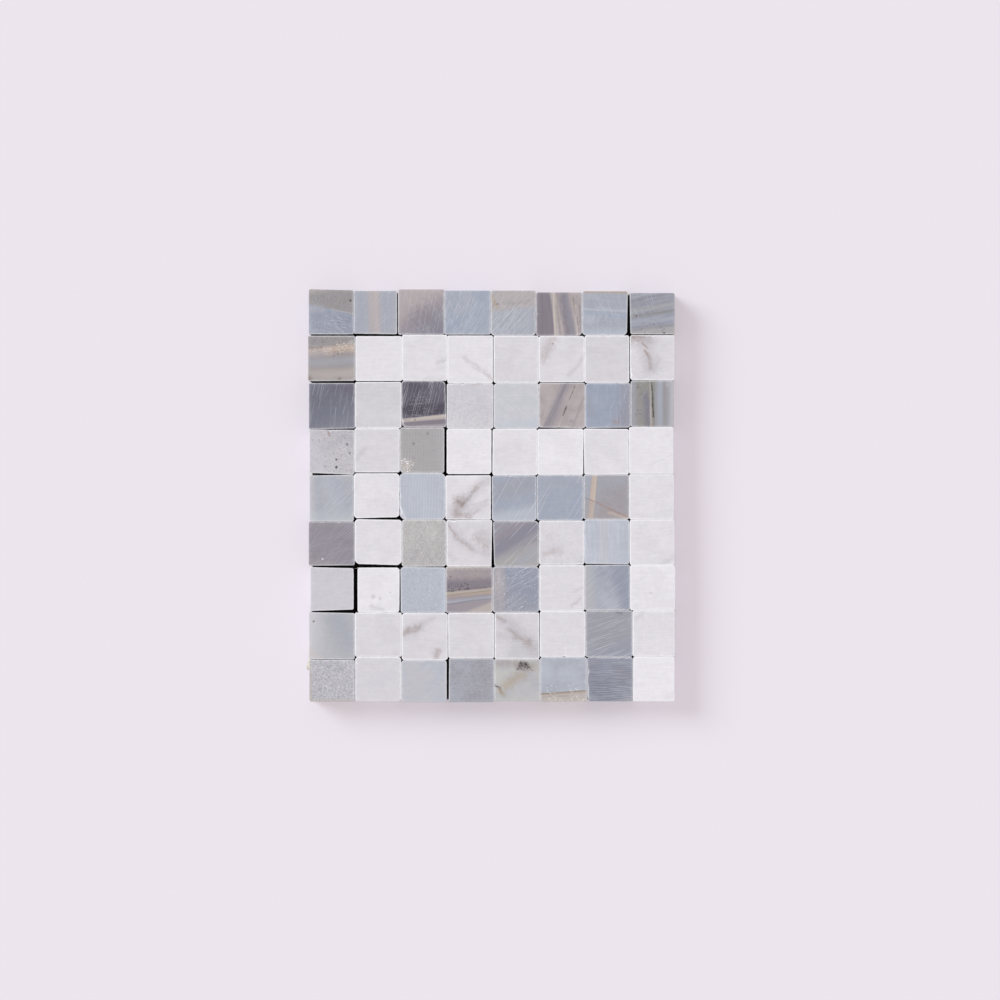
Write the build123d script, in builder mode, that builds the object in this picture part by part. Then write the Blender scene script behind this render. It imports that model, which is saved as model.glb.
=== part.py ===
"""Corner of a marble key border: sawn marble stones laid close together on an open net.

The stones lie in eight columns and nine rows. The even grid of cells is only where they were meant
to lie: each joint drifts a little from it, and some stones are cut short or out of square. All
lengths are in mm, with X to the right, Y up the face and Z out of it.
"""
import os

from build123d import *

os.makedirs("parts", exist_ok=True)

# The stones and their joints
stone_side = 15.1
stone_thickness = 9.4
joint = 0.15
worn_corner = 0.55
arris = 0.28

# The net under them
net_cell = 5.0
strand_width = 0.9
strand_thickness = 0.45
net_inset = 0.9

# One crosswise strand was cut long and sticks out at the left, counted down from the middle
stray_strand = 12
stray_reach = 1.2

# Which marble each stone is, row by row from the top: g grey, w white
key_pattern = (
    "gggggggg",
    "gwwwwwww",
    "gwgggggg",
    "gwgwwwww",
    "gwgwgggw",
    "gwgwgwgw",
    "gwgggwgw",
    "gwwwwwgw",
    "gwgggggw",
)
marbles = {"g": "grey", "w": "white"}

# The drifts and set-backs below are written in steps of this length
drift_step = 0.1

# How far right of the even grid each row's left end, seven joints and right end stand
upright_drift = (
    (0, -2, -8, -6, -4, -6, -5, -3, -2),
    (-2, 3, 6, 4, 5, 4, 3, 0, -1),
    (1, 2, 4, 2, 5, 4, 5, 4, -5),
    (3, 0, -1, -2, 0, -1, 0, -2, -5),
    (3, -2, -3, -2, -2, -4, 0, -1, -3),
    (0, 1, 5, 1, 2, 4, 2, 1, -1),
    (6, 8, 0, -1, 2, 5, 3, 2, 1),
    (1, 1, 5, 6, 8, 6, 6, 10, 0),
    (2, 2, 3, 5, 8, 8, 11, 12, -1),
)

# How far above the even grid the top edge, the eight joints and the bottom edge stand in each column
level_drift = (
    (4, -2, 3, -1, -1, -7, -3, -9),
    (3, 2, 4, 3, 1, 0, 2, 4),
    (-2, 1, 3, -5, -4, -3, -4, 4),
    (-6, -2, 1, -4, -4, -3, -3, 2),
    (-4, 2, 2, -5, -6, -5, -4, -2),
    (-7, 1, -1, -2, -6, -4, 0, -1),
    (-5, -5, -6, -4, -5, 1, 2, 0),
    (-2, -5, -7, -6, -5, 0, 2, 2),
    (-9, 0, -11, -5, -7, -1, -1, 1),
    (3, 3, 1, 1, 4, 3, 4, 3),
)

# Stones that stand back from their joints: left and right edges from the top down,
# top and bottom edges from left to right. The keys count rows and columns from 1.
set_backs = {
    (1, 1): {"top": (0, 4)},
    (1, 2): {"right": (2, 2), "bottom": (3, 1)},
    (1, 7): {"right": (1, 4)},
    (1, 8): {"left": (2, 5)},
    (2, 1): {"right": (1, 1), "bottom": (2, 3)},
    (2, 4): {"right": (1, 1)},
    (2, 6): {"bottom": (1, 1)},
    (2, 8): {"left": (1, 1), "bottom": (1, 0)},
    (3, 1): {"bottom": (0, 2)},
    (3, 3): {"right": (5, 0)},
    (3, 5): {"left": (1, 1)},
    (3, 6): {"bottom": (2, 1)},
    (3, 7): {"bottom": (1, 2)},
    (4, 1): {"bottom": (3, 0)},
    (4, 3): {"right": (2, 2)},
    (4, 4): {"left": (2, 2), "bottom": (1, 2)},
    (4, 5): {"left": (1, 0)},
    (4, 7): {"left": (0, 1)},
    (5, 2): {"bottom": (2, 3)},
    (5, 4): {"bottom": (1, 0)},
    (5, 5): {"left": (0, 1)},
    (6, 1): {"bottom": (2, 3)},
    (6, 2): {"bottom": (7, 3)},
    (6, 5): {"left": (0, 2)},
    (6, 7): {"bottom": (1, 1)},
    (7, 1): {"right": (8, 8), "top": (0, 4), "bottom": (0, 5)},
    (7, 2): {"top": (1, 1), "right": (1, 1)},
    (8, 1): {"top": (0, 3)},
    (8, 4): {"left": (0, 1)},
    (8, 6): {"left": (1, 0)},
    (9, 4): {"left": (2, 1)},
}

pitch = stone_side + joint
row_count = len(key_pattern)
column_count = len(key_pattern[0])
tile_width = column_count * pitch
tile_length = row_count * pitch

# The origin is under the middle of the whole outline, stray strand included
right_end = tile_width + max(row[-1] for row in upright_drift) * drift_step - joint / 2
left_end = -stray_reach
top_end = max(level_drift[0]) * drift_step - joint / 2
bottom_end = min(level_drift[-1]) * drift_step + joint / 2 - tile_length
grid_left = -(left_end + right_end) / 2
grid_top = -(top_end + bottom_end) / 2


def upright(row, line):
    """X of an upright joint in a row, both counted from 0."""
    return grid_left + line * pitch + upright_drift[row][line] * drift_step


def level(line, column):
    """Y of a level joint in a column, both counted from 0."""
    return grid_top - line * pitch + level_drift[line][column] * drift_step


def stone_corners(row, column):
    """The four corners of a stone's outline: its cell, less half a joint and its set-backs."""
    back = set_backs.get((row + 1, column + 1), {})

    def edge(side):
        return [joint / 2 + steps * drift_step for steps in back.get(side, (0, 0))]

    left = upright(row, column)
    right = upright(row, column + 1)
    top = level(row, column)
    bottom = level(row + 1, column)
    return [
        (left + edge("left")[1], bottom + edge("bottom")[0]),
        (right - edge("right")[1], bottom + edge("bottom")[1]),
        (right - edge("right")[0], top - edge("top")[1]),
        (left + edge("left")[0], top - edge("top")[0]),
    ]


# The stones, one node for each marble of each row
for row, stones in enumerate(key_pattern):
    for letter in sorted(set(stones)):
        with BuildPart() as row_stones:
            with BuildSketch(Plane.XY.offset(strand_thickness)) as outlines:
                for column, stone in enumerate(stones):
                    if stone == letter:
                        Polygon(*stone_corners(row, column), align=None)
                fillet(outlines.vertices(), radius=worn_corner)
            extrude(amount=stone_thickness)
            polished = row_stones.faces().group_by(Axis.Z)[-1]
            fillet(polished.edges(), radius=arris)
        node = f"row_{row + 1}_{marbles[letter]}_stones"
        row_stones.part.label = node
        export_step(row_stones.part, f"parts/{node}.step")

# The net, one node above the middle of the tile and one below it, meeting face to face
net_middle_x = grid_left + tile_width / 2
net_middle_y = grid_top - tile_length / 2
net_width = tile_width - 2 * net_inset
net_length = tile_length - 2 * net_inset
lengthwise_count = 2 * int(net_width / 2 / net_cell) + 1
crosswise_count = int(net_length / 2 / net_cell + 0.5)

for side, name in ((1, "upper"), (-1, "lower")):
    half_middle_y = net_middle_y + side * net_length / 4
    crosswise_middle_y = net_middle_y + side * crosswise_count * net_cell / 2
    with BuildPart() as net_half:
        with BuildSketch(Plane.XY) as strands:
            with Locations((net_middle_x, half_middle_y)):
                with GridLocations(net_cell, net_length, lengthwise_count, 1):
                    Rectangle(strand_width, net_length / 2)
            with Locations((net_middle_x, crosswise_middle_y)):
                with GridLocations(net_width, net_cell, 1, crosswise_count):
                    Rectangle(net_width, strand_width)
            if side < 0:
                stray_y = net_middle_y - (stray_strand - 0.5) * net_cell
                with Locations((grid_left - stray_reach, stray_y)):
                    Rectangle(stray_reach + pitch, strand_width, align=(Align.MIN, Align.CENTER))
        extrude(amount=strand_thickness)
    net_half.part.label = f"net_{name}_half"
    export_step(net_half.part, f"parts/net_{name}_half.step")
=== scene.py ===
# %% [markdown]
# # A marble border corner tile
#
# Seventy-two small sawn marble stones lie close together on an open net and draw one corner of a
# Greek key in grey and white. Each stone is a piece of nature with its own figure: clouds, layers,
# veins, rust spots and the scratches of the saw. This lesson builds the stones as worked-out
# surfaces, gives every stone its own figure from a small kit of shader groups, weaves the net under
# them, and lights the tile as a photograph taken from straight above.

# %% Load the frame
import math
from types import SimpleNamespace

import bpy
import numpy as np
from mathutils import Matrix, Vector

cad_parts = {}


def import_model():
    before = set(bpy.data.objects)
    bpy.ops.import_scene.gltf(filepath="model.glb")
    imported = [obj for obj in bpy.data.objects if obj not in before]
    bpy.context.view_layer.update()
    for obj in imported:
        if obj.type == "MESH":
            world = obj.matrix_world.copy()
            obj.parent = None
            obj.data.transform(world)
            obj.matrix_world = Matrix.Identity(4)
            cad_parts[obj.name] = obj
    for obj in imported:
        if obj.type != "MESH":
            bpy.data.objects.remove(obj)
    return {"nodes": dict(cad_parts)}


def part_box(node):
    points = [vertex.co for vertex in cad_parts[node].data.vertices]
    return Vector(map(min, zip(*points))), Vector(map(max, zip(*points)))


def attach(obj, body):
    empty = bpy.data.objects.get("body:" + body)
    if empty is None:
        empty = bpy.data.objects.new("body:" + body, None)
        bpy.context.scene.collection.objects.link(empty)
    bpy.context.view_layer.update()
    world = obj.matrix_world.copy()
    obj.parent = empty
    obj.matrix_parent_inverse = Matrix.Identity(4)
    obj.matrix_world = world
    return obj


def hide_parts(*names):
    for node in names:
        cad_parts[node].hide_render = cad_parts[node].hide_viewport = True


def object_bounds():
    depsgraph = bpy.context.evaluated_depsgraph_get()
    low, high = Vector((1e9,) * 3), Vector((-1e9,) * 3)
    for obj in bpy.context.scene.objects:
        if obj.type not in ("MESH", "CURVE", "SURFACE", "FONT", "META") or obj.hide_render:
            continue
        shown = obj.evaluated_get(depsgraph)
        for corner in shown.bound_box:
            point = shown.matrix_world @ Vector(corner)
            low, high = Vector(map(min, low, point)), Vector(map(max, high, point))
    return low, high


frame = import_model()
cad_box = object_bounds()
print("CAD box", [[round(v, 5) for v in corner] for corner in cad_box])

# %% [markdown]
# ## Reading the stones from the frame
#
# The frame holds each row's stones of one marble in one mesh. No two stones of a row reach over the
# same stretch of X, so the triangles sort themselves into stones: wherever the next triangle starts
# to the right of everything before it, a new stone begins. The four longest edges of a stone's
# outline are its sides, and where they meet are its corners, before the corners were rounded.

# %% The key and its pieces
MM = 0.001
CLOSE = 0.01
TILE_LOW, TILE_HIGH = np.array(cad_box)[:, :2] + np.array([[CLOSE], [-CLOSE]]) * MM
KEY = (
    "gggggggg",
    "gwwwwwww",
    "gwgggggg",
    "gwgwwwww",
    "gwgwgggw",
    "gwgwgwgw",
    "gwgggwgw",
    "gwwwwwgw",
    "gwgggggw",
)
MARBLE = {"g": "grey", "w": "white"}


def row_pieces():
    """Each row's pieces in turn, grey before white: the row, the marble and its columns."""
    for row, letters in enumerate(KEY, start=1):
        for letter in sorted(set(letters)):
            yield row, MARBLE[letter], [c for c, found in enumerate(letters, start=1) if found == letter]


# %% Corners of every stone
def meet(p, u, q, v):
    """Where the line through p along u meets the line through q along v."""
    t = ((q[0] - p[0]) * v[1] - (q[1] - p[1]) * v[0]) / (u[0] * v[1] - u[1] * v[0])
    return p + t * u


def four_corners(points):
    """The corners of a rounded four-sided outline, from lower left, turning left."""
    middle = points.mean(0)
    points = points[np.argsort(np.arctan2(*(points - middle).T[::-1]))]
    step = np.roll(points, -1, 0) - points
    longest = np.sort(np.argsort(np.linalg.norm(step, axis=1))[-4:])
    sides = [(points[i], step[i]) for i in longest]
    corners = np.array([meet(*sides[i - 1], *sides[i]) for i in range(4)])
    first = np.argmin((corners - middle).sum(1))
    return np.roll(corners, -first, 0)


def stones_in(node):
    """Each stone of a CAD node, left to right: its four corners and its lowest and highest Z."""
    mesh = frame["nodes"][node].data
    points = np.empty(len(mesh.vertices) * 3)
    mesh.vertices.foreach_get("co", points)
    points = points.reshape(-1, 3)
    mesh.calc_loop_triangles()
    triangles = np.empty(len(mesh.loop_triangles) * 3, int)
    mesh.loop_triangles.foreach_get("vertices", triangles)
    across = points[triangles.reshape(-1, 3), 0]
    order = np.argsort(across.min(1))
    start, reach = across.min(1)[order], np.maximum.accumulate(across.max(1)[order])
    starts = start[np.concatenate([[0], 1 + np.flatnonzero(start[1:] > reach[:-1] + CLOSE * MM)])]
    owner = np.searchsorted(starts, points[:, 0] + CLOSE / 2 * MM) - 1
    low = points[:, 2] < points[:, 2].min() + CLOSE * MM
    return [
        (four_corners(np.unique(points[low & (owner == i), :2].round(7), axis=0)),
         points[:, 2].min(), points[:, 2].max())
        for i in range(len(starts))
    ]


corners_of, stone_floor, stone_top = {}, 0.0, 0.0
for row, marble, columns in row_pieces():
    for column, (corners, low, high) in zip(columns, stones_in(f"row_{row}_{marble}_stones")):
        corners_of[row, column], stone_floor, stone_top = corners, low, high
print(len(corners_of), "stones, from", round(stone_floor / MM, 3), "to", round(stone_top / MM, 3), "mm high")

# %% [markdown]
# ## The shape of one stone
#
# A sawn stone is a block with four upright sides. Tumbling rounds its upright corners and eases its
# arris, the sharp rim of the face, and now and then knocks a chip out of it. All of that is one
# surface: rings that follow the outline, stacked along a profile that runs from the middle of the
# back, up the side, round the arris and in to the middle of the face. Where the arris radius swells
# along the rim, a chip appears.

# %% Outline with rounded corners
ARC_POINTS = 7
SIDE_POINTS = 27
CORNER_FLATNESS = 0.6


def outline_of(corners, radii, sides):
    """Points round a four-sided outline, their inward normals, the sides' values and their room.

    Each corner is an arc of its own radius that touches both sides, flattened towards its chord, and
    each side is a straight run of evenly spaced points between two arcs. The sides' values are given
    as rows, one for the start and one for the end of each side; they change evenly along a side and
    along an arc. The room is how far in a point may move before a corner folds: the radius, and
    along a side the radius and the way from the corner.
    """
    arcs, normals, turning = [], [], []
    for i in range(4):
        corner, radius = corners[i], radii[i]
        back, ahead = corners[i - 1] - corner, corners[(i + 1) % 4] - corner
        back, ahead = back / np.linalg.norm(back), ahead / np.linalg.norm(ahead)
        half = math.acos(back @ ahead) / 2
        centre = corner + (back + ahead) / np.linalg.norm(back + ahead) * radius / math.sin(half)
        away = np.array([corner + back * radius / math.tan(half) - centre,
                         corner + ahead * radius / math.tan(half) - centre])
        start, end = np.arctan2(away[:, 1], away[:, 0])
        angle = start + ((end - start + math.pi) % (2 * math.pi) - math.pi) * np.linspace(0, 1, ARC_POINTS)
        outward = np.stack([np.cos(angle), np.sin(angle)], 1)
        arc = centre + radius * outward
        chord = arc[0] + (arc[-1] - arc[0]) * np.linspace(0, 1, ARC_POINTS)[:, None]
        arcs.append(arc + (chord - arc) * CORNER_FLATNESS)
        normals.append(-outward)
        turning.append(np.linspace(sides[i - 1][1], sides[i][0], ARC_POINTS))
    share = np.linspace(0, 1, SIDE_POINTS + 2)[1:-1]
    points, inward, given, room = [], [], [], []
    for i in range(4):
        a, b = arcs[i][-1], arcs[(i + 1) % 4][0]
        length = np.linalg.norm(b - a)
        points += [arcs[i], a + (b - a) * share[:, None]]
        inward += [normals[i], np.repeat(normals[i][-1:], SIDE_POINTS, 0)]
        start, end = np.array(sides[i])
        given += [turning[i], start + (end - start) * share[:, None]]
        room += [np.full(ARC_POINTS, radii[i]),
                 np.minimum(radii[i] + length * share, radii[(i + 1) % 4] + length * (1 - share))]
    return [np.concatenate(values) for values in (points, inward, given, room)]


# %% Unevenness along the rim
def wobble(turn, dice, waves=5, slowest=3):
    """A smooth closed line round the rim, between about -1 and 1: sines of whole turns, added up."""
    turns = dice.integers(slowest, slowest * 9, waves)
    phases = dice.uniform(0, 2 * math.pi, waves)
    strengths = dice.uniform(0.3, 1.0, waves) / np.sqrt(turns)
    total = (strengths[:, None] * np.sin(turns[:, None] * turn * 2 * math.pi + phases[:, None])).sum(0)
    return total / strengths.sum()


def bumps(turn, places, widths, heights):
    """Rounded bumps at places counted in turns round the rim: heights times bell curves."""
    gap = (turn[None] - np.array(places)[:, None] + 0.5) % 1.0 - 0.5
    return (np.array(heights)[:, None] * np.exp(-(gap / np.array(widths)[:, None]) ** 2)).sum(0)


# %% [markdown]
# ## Sizes of a stone
#
# The arris is a little tighter on the tile's open outer sides than in the joints, where the stones
# rubbed against each other, and in a joint its first rings carry painted shade, darker the wider
# the joint gapes. The foot is the eased rim of the back. The wall and the face are lists of shares,
# one for each ring: how far down the side from the arris, and how far out from the middle; the
# face's outer rings take a pale frost, partly wear and partly a painted highlight. A side is more
# uneven the wider its joint gapes. Nicks and chips are given in turns round the rim and in mm.

# %% Rims, rings, nicks and dips
ARRIS = 0.19 * MM
OPEN_ARRIS = 0.75
ARRIS_UNEVEN = 0.22
# Painted shade on the arris rings in a joint, from the wall up towards the face.
ARRIS_JOINT_SHADE = (0.9, 0.6, 0.2, 0.0, 0.0, 0.0)
# How much wear and painted highlight the rim takes on the tile's open sides.
OPEN_WEAR_AND_HIGHLIGHT = 0.3
# How much of that painted shade the arris keeps in a tight joint.
TIGHT_JOINT_SHADE = 0.1
FOOT = 0.16 * MM
FOOT_SHARE, FOOT_UNEVEN = 1.2, 0.8
WALL = (0.04, 0.08, 0.14, 0.25, 0.42, 0.6, 0.78, 0.92)
FACE = (0.97, 0.92, 0.84, 0.72, 0.57, 0.4, 0.22)
# Pale frost on the face's outer rings: partly worn marble, partly a painted highlight along the edge.
FROST_AND_HIGHLIGHT = (0.3, 0.12, 0.05, 0.0, 0.0, 0.0, 0.0)
TIGHT = 0.07 * MM
WIDE = -0.04 * MM
TIGHT_UNEVEN, OPEN_UNEVEN = 0.006, 0.018
NICKS = 14
NICK_WIDTHS = (0.002, 0.007)
NICK_DEPTH = 0.32
DEEP_CHIP = 0.45
ROOM_USED = 0.6
FACE_LOW = (0.03, 0.1)
FACE_SINK, FACE_DIP, MOST_TILT = 0.035, 0.012, 0.003
DIP_WAVES, DIP_SHIFT = (2.1, 1.7), 900
HALF_STONE = 7.5


def at_least(low, share):
    """A value that is low where the share is 0 and 1 where the share is 1."""
    return low + (1 - low) * share


# %% The surface of one stone
def stone_surface(corners, radii, sides, dice, chips=()):
    """Rings of points over one stone, from its back to its face, and what each point has seen.

    The sides give openness and growth: how far the outline stands out of the CAD stone's, or with
    a minus sign how far in. The arris radius round the rim is an even value times a wobble, plus
    small random nicks, plus the chips given as (place round the rim, half width, depth in mm). A
    ring on the arris stands in by radius times (1 - cos angle) and down by radius times
    (1 - sin angle). Rings on the back and the face shrink towards the middle, round which their
    points keep their order. The face dips and tilts by a few hundredths of a millimetre. Rim is
    how worn a point is and how much painted highlight it takes along the edge, broken how deep in
    a chip it lies, and joint how much painted shade it takes down between two stones.
    """
    points, inward, given, room = outline_of(corners, radii, sides)
    openness, growth = given[:, 0], given[:, 1] * MM
    closed = 1 - openness
    gape = np.clip((TIGHT - growth) / (TIGHT - WIDE), 0, 1)
    length = np.linalg.norm(np.roll(points, -1, 0) - points, axis=1)
    turn = np.concatenate([[0], np.cumsum(length)[:-1]]) / length.sum()
    uneven = (TIGHT_UNEVEN + OPEN_UNEVEN * np.maximum(gape, openness)) * MM
    out = growth + uneven * wobble(turn, dice)
    points = np.clip(points - inward * out[:, None], TILE_LOW, TILE_HIGH)
    places = [c[0] for c in chips] + list(dice.uniform(0, 1, NICKS))
    widths = [c[1] for c in chips] + list(dice.uniform(*NICK_WIDTHS, NICKS))
    depths = [c[2] for c in chips] + list(NICK_DEPTH * dice.uniform(0, 1, NICKS) ** 2)
    chipped = bumps(turn, places, widths, depths)
    arris = ARRIS * at_least(OPEN_ARRIS, closed) * (1 + ARRIS_UNEVEN * wobble(turn, dice, 9, 6))
    arris = np.minimum(arris + MM * chipped, ROOM_USED * (room + np.minimum(out, 0)))
    foot = FOOT * (FOOT_SHARE + FOOT_UNEVEN * wobble(turn, dice, 9, 7))
    middle = points.mean(0)
    top = stone_top - dice.uniform(*FACE_LOW) * MM
    tilt = dice.uniform(-MOST_TILT, MOST_TILT, 2)
    rings, rim, joint, broken = [], [], [], []

    # A ring's worn value is wear plus painted highlight; its between-stones value is painted shade.
    def ring(flat, height, wear_and_highlight, between_stones, in_chip=0.0):
        height = np.broadcast_to(height, turn.shape)
        rings.append(np.concatenate([flat, height[:, None]], 1))
        for found, value in ((rim, wear_and_highlight), (joint, between_stones), (broken, in_chip)):
            found.append(np.broadcast_to(value, turn.shape))

    for share in FACE[::-1]:
        ring(middle + (points + inward * foot[:, None] - middle) * share, stone_floor, 0, 0)
    # The foot takes wear and painted highlight on open sides, and painted shade in a joint.
    for angle in np.linspace(math.pi / 2, 0, 3):
        ring(points + inward * (foot * (1 - math.cos(angle)))[:, None],
             stone_floor + foot * (1 - math.sin(angle)), 0.5 * openness, closed)
    low, high = stone_floor + foot, top - arris
    # The walls in a joint are painted in shade all the way down.
    for share in WALL[::-1]:
        ring(points, high - (high - low) * share, 0, closed)
    # The arris takes wear and painted highlight, and in a joint its first rings take painted shade.
    for angle, dark in zip(np.linspace(0, math.pi / 2, len(ARRIS_JOINT_SHADE)), ARRIS_JOINT_SHADE):
        ring(points + inward * (arris * (1 - math.cos(angle)))[:, None],
             top - arris * (1 - math.sin(angle)), at_least(OPEN_WEAR_AND_HIGHLIGHT, closed),
             closed * dark * at_least(TIGHT_JOINT_SHADE, gape), np.clip(chipped / DEEP_CHIP, 0, 1))
    spoke = rings[-1][:, :2] - middle
    bearing = np.maximum.accumulate(np.unwrap(np.arctan2(spoke[:, 1], spoke[:, 0])))
    bearing = np.stack([np.cos(bearing), np.sin(bearing)], 1)
    edge = middle + bearing * np.linalg.norm(spoke, axis=1)[:, None]
    # The face's outer rings take the pale frost, partly wear and partly painted highlight.
    for share, frost_and_highlight in zip(FACE, FROST_AND_HIGHLIGHT):
        ring(middle + (edge - middle) * share, top, frost_and_highlight, 0)
    rings, rim, broken, joint = (np.array(values) for values in (rings, rim, broken, joint))
    away = (rings[..., :2] - middle) / (HALF_STONE * MM)
    waves = away * DIP_WAVES + DIP_SHIFT * tilt
    dip = np.sin(waves[..., 0]) * np.cos(waves[..., 1])
    lifted = np.clip((rings[..., 2] - stone_floor) / (stone_top - stone_floor), 0, 1) ** 8
    lean = (away * tilt).sum(-1) * HALF_STONE
    rings[..., 2] += lifted * (lean + FACE_DIP * dip - FACE_SINK) * MM
    return rings, rim, broken, joint, top


# %% [markdown]
# ## Tight and open joints
#
# Most of the stones touch, and only the bright eased arrises show where one ends and the next
# begins. Others stand a little apart, so the joint is a hairline or a black gap, and some gaps open
# like a wedge. Each letter gives how far both outlines stand out, in mm, at the joint's start and
# at its end. Upright joints are read from the top down and level joints from left to right.

# %% Joints
JOINTS = {
    "c": (0.07, 0.07), "h": (0.045, 0.045), "n": (0.02, 0.02), "o": (-0.04, -0.04), "w": (-0.1, -0.1),
    "x": (-0.13, -0.13), "v": (-0.16, -0.16), "V": (-0.21, -0.21), "r": (0.07, -0.04),
    "l": (-0.04, 0.07), "R": (0.05, -0.18), "L": (-0.17, 0.07), "k": (-0.08, 0.0), "p": (0.02, -0.09),
    "q": (-0.03, -0.27),
}
UPRIGHT_JOINTS = (
    "cncccco", "ccchccn", "ccccccc", "chwocrh", "cccohcc", "cccqhcc", "vpccccc", "cchnncc", "ncVcccc")
LEVEL_JOINTS = (
    "xvcoccco", "woccchcc", "rchcclrc", "Lockccch", "cRchcccc", "owrcchlc", "wccccccc", "nccccccc")


def sides_of(row, column):
    """(openness, growth) at the start and the end of the four sides, from the bottom, turning left."""
    last_row, last_column = len(KEY), len(KEY[0])
    edge = ((1.0, 0.0), (1.0, 0.0))
    found = []
    for outside, lines, line, place, backwards in (
            (row == last_row, LEVEL_JOINTS, row - 1, column - 1, False),
            (column == last_column, UPRIGHT_JOINTS, row - 1, column - 1, True),
            (row == 1, LEVEL_JOINTS, row - 2, column - 1, True),
            (column == 1, UPRIGHT_JOINTS, row - 1, column - 2, False)):
        if outside:
            found.append(edge)
            continue
        start, end = JOINTS[lines[line][place]]
        found.append(((0.0, end), (0.0, start)) if backwards else ((0.0, start), (0.0, end)))
    return found


# %% [markdown]
# ## Where the chips are
#
# A chip's place is counted in turns round the rim, starting at the lower left corner and running
# along the bottom, so 0.25 is near the lower right corner, 0.5 near the upper right and 0.75 near
# the upper left. Some stones were also tumbled rounder at their upright corners than the rest.

# %% Chips and rounder corners
ROUNDER = {
    (1, 5): (0.9, 0.8, 0.6, 0.6), (1, 6): (0.6, 1.0, 0.6, 0.6), (1, 7): (0.9, 1.1, 0.7, 0.6),
    (2, 8): (0.8, 0.5, 0.5, 0.6), (3, 3): (1.0, 0.6, 0.9, 0.6), (3, 5): (0.8, 0.7, 0.6, 0.9),
    (3, 7): (0.7, 0.8, 0.5, 0.8), (4, 3): (0.8, 0.6, 0.6, 0.6), (4, 4): (0.7, 0.9, 0.5, 0.6),
    (5, 2): (0.9, 1.0, 0.9, 0.8), (5, 3): (1.5, 1.1, 1.3, 1.2), (5, 5): (0.7, 0.8, 0.7, 0.7),
    (5, 6): (0.7, 0.9, 0.7, 0.6), (6, 2): (1.3, 1.3, 0.8, 0.9), (6, 3): (0.7, 0.9, 0.8, 0.6),
    (6, 5): (0.8, 0.8, 0.9, 0.7), (6, 7): (0.7, 0.7, 0.9, 0.6), (7, 2): (0.6, 0.7, 0.9, 0.7),
    (7, 5): (0.7, 0.8, 0.9, 0.7), (7, 3): (0.6, 0.5, 0.6, 0.8), (9, 3): (1.1, 0.8, 0.7, 0.8),
    (9, 2): (0.7, 0.6, 0.8, 0.8), (9, 7): (1.2, 0.6, 0.6, 0.6), (8, 3): (0.6, 0.7, 0.6, 0.7),
}
CHIPS = {
    (1, 5): [(0.26, 0.012, 0.5)], (1, 6): [(0.255, 0.014, 0.7)], (3, 3): [(0.0, 0.02, 0.7)],
    (2, 8): [(0.99, 0.02, 0.6)], (5, 3): [(0.985, 0.03, 0.9), (0.9, 0.03, 0.3)],
    (5, 7): [(0.26, 0.01, 0.5)], (6, 6): [(0.25, 0.02, 0.5)], (8, 6): [(0.14, 0.006, 0.8)],
    (9, 7): [(0.02, 0.03, 0.8), (0.09, 0.02, 0.5), (0.95, 0.03, 0.4), (0.85, 0.02, 0.4)],
    (4, 1): [(0.64, 0.008, 0.5)], (7, 1): [(0.9, 0.04, 0.3)], (9, 1): [(0.8, 0.03, 0.3)],
    (6, 4): [(0.72, 0.02, 0.4)], (8, 1): [(0.86, 0.05, 0.25)], (3, 4): [(0.74, 0.02, 0.3)],
}
print(len(CHIPS), "chipped stones and", len(ROUNDER), "rounder ones")

# %% [markdown]
# ## A kit for stone figures
#
# Marble's figure is layered: a cloudy ground, soft bands of sediment across it, veins and stains on
# top, then what the saw and the tumbler did to the surface. Each of those is a shader node group
# that takes a colour in and gives a changed colour out, so any stone is a short chain of them. They
# all read one attribute, the place on the stone: X runs 0 to 1 from left to right, Y runs 0 to 1
# from the top edge down, as a photograph is read, and Z is the depth below the face.
#
# A wire stands for a socket. It can be used in a formula like a number, and the formula then adds
# the nodes that work it out: + - * / ** < and abs become Math nodes, or Vector Math nodes where one
# side is a vector, and @ is the dot product of two vectors.

# %% Wires: formulas that become nodes
class Wire:
    """A socket's number, vector or colour, for use in formulas."""

    def __init__(self, socket):
        self.socket = socket
        self.tree = socket.id_data
        self.is_vector = socket.type in ("VECTOR", "RGBA")

    def __add__(self, other):
        return calc("ADD", self, other)

    def __sub__(self, other):
        return calc("SUBTRACT", self, other)

    def __rsub__(self, other):
        return calc("SUBTRACT", other, self)

    def __mul__(self, other):
        return calc("SCALE" if self.is_vector and not is_vector(other) else "MULTIPLY", self, other)

    def __truediv__(self, other):
        return calc("DIVIDE", self, other)

    def __pow__(self, other):
        return calc("POWER", self, other)

    def __lt__(self, other):
        return calc("LESS_THAN", self, other)

    def __matmul__(self, other):
        return calc("DOT_PRODUCT", self, other)

    def __abs__(self):
        return calc("ABSOLUTE", self)


def is_vector(value):
    """Whether a value is a vector: a tuple, or the wire of a vector or a colour."""
    return isinstance(value, tuple) or getattr(value, "is_vector", False)


# %% Adding nodes
def feed(socket, value):
    """Link a socket to a wire, or give it a plain value."""
    if isinstance(value, Wire):
        value.tree.links.new(value.socket, socket)
    else:
        socket.default_value = value


def add(tree, kind, values=None, **settings):
    """Add a node, set its properties, and feed its inputs by name or number."""
    node = tree.nodes.new("ShaderNode" + kind)
    for name, value in settings.items():
        setattr(node, name, value)
    for name, value in (values or {}).items():
        feed(node.inputs[name], value)
    return node


def calc(operation, *values, clamp=False):
    """The result of a Math node, or of a Vector Math node where a value is a vector."""
    tree = next(value.tree for value in values if isinstance(value, Wire))
    if not any(is_vector(value) for value in values):
        node = add(tree, "Math", dict(enumerate(values)), operation=operation, use_clamp=clamp)
        return Wire(node.outputs[0])
    names = (0, "Scale") if operation == "SCALE" else (0, 1)
    node = add(tree, "VectorMath", dict(zip(names, values)), operation=operation)
    return Wire(node.outputs["Value" if operation in ("DOT_PRODUCT", "DISTANCE") else "Vector"])


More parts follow.
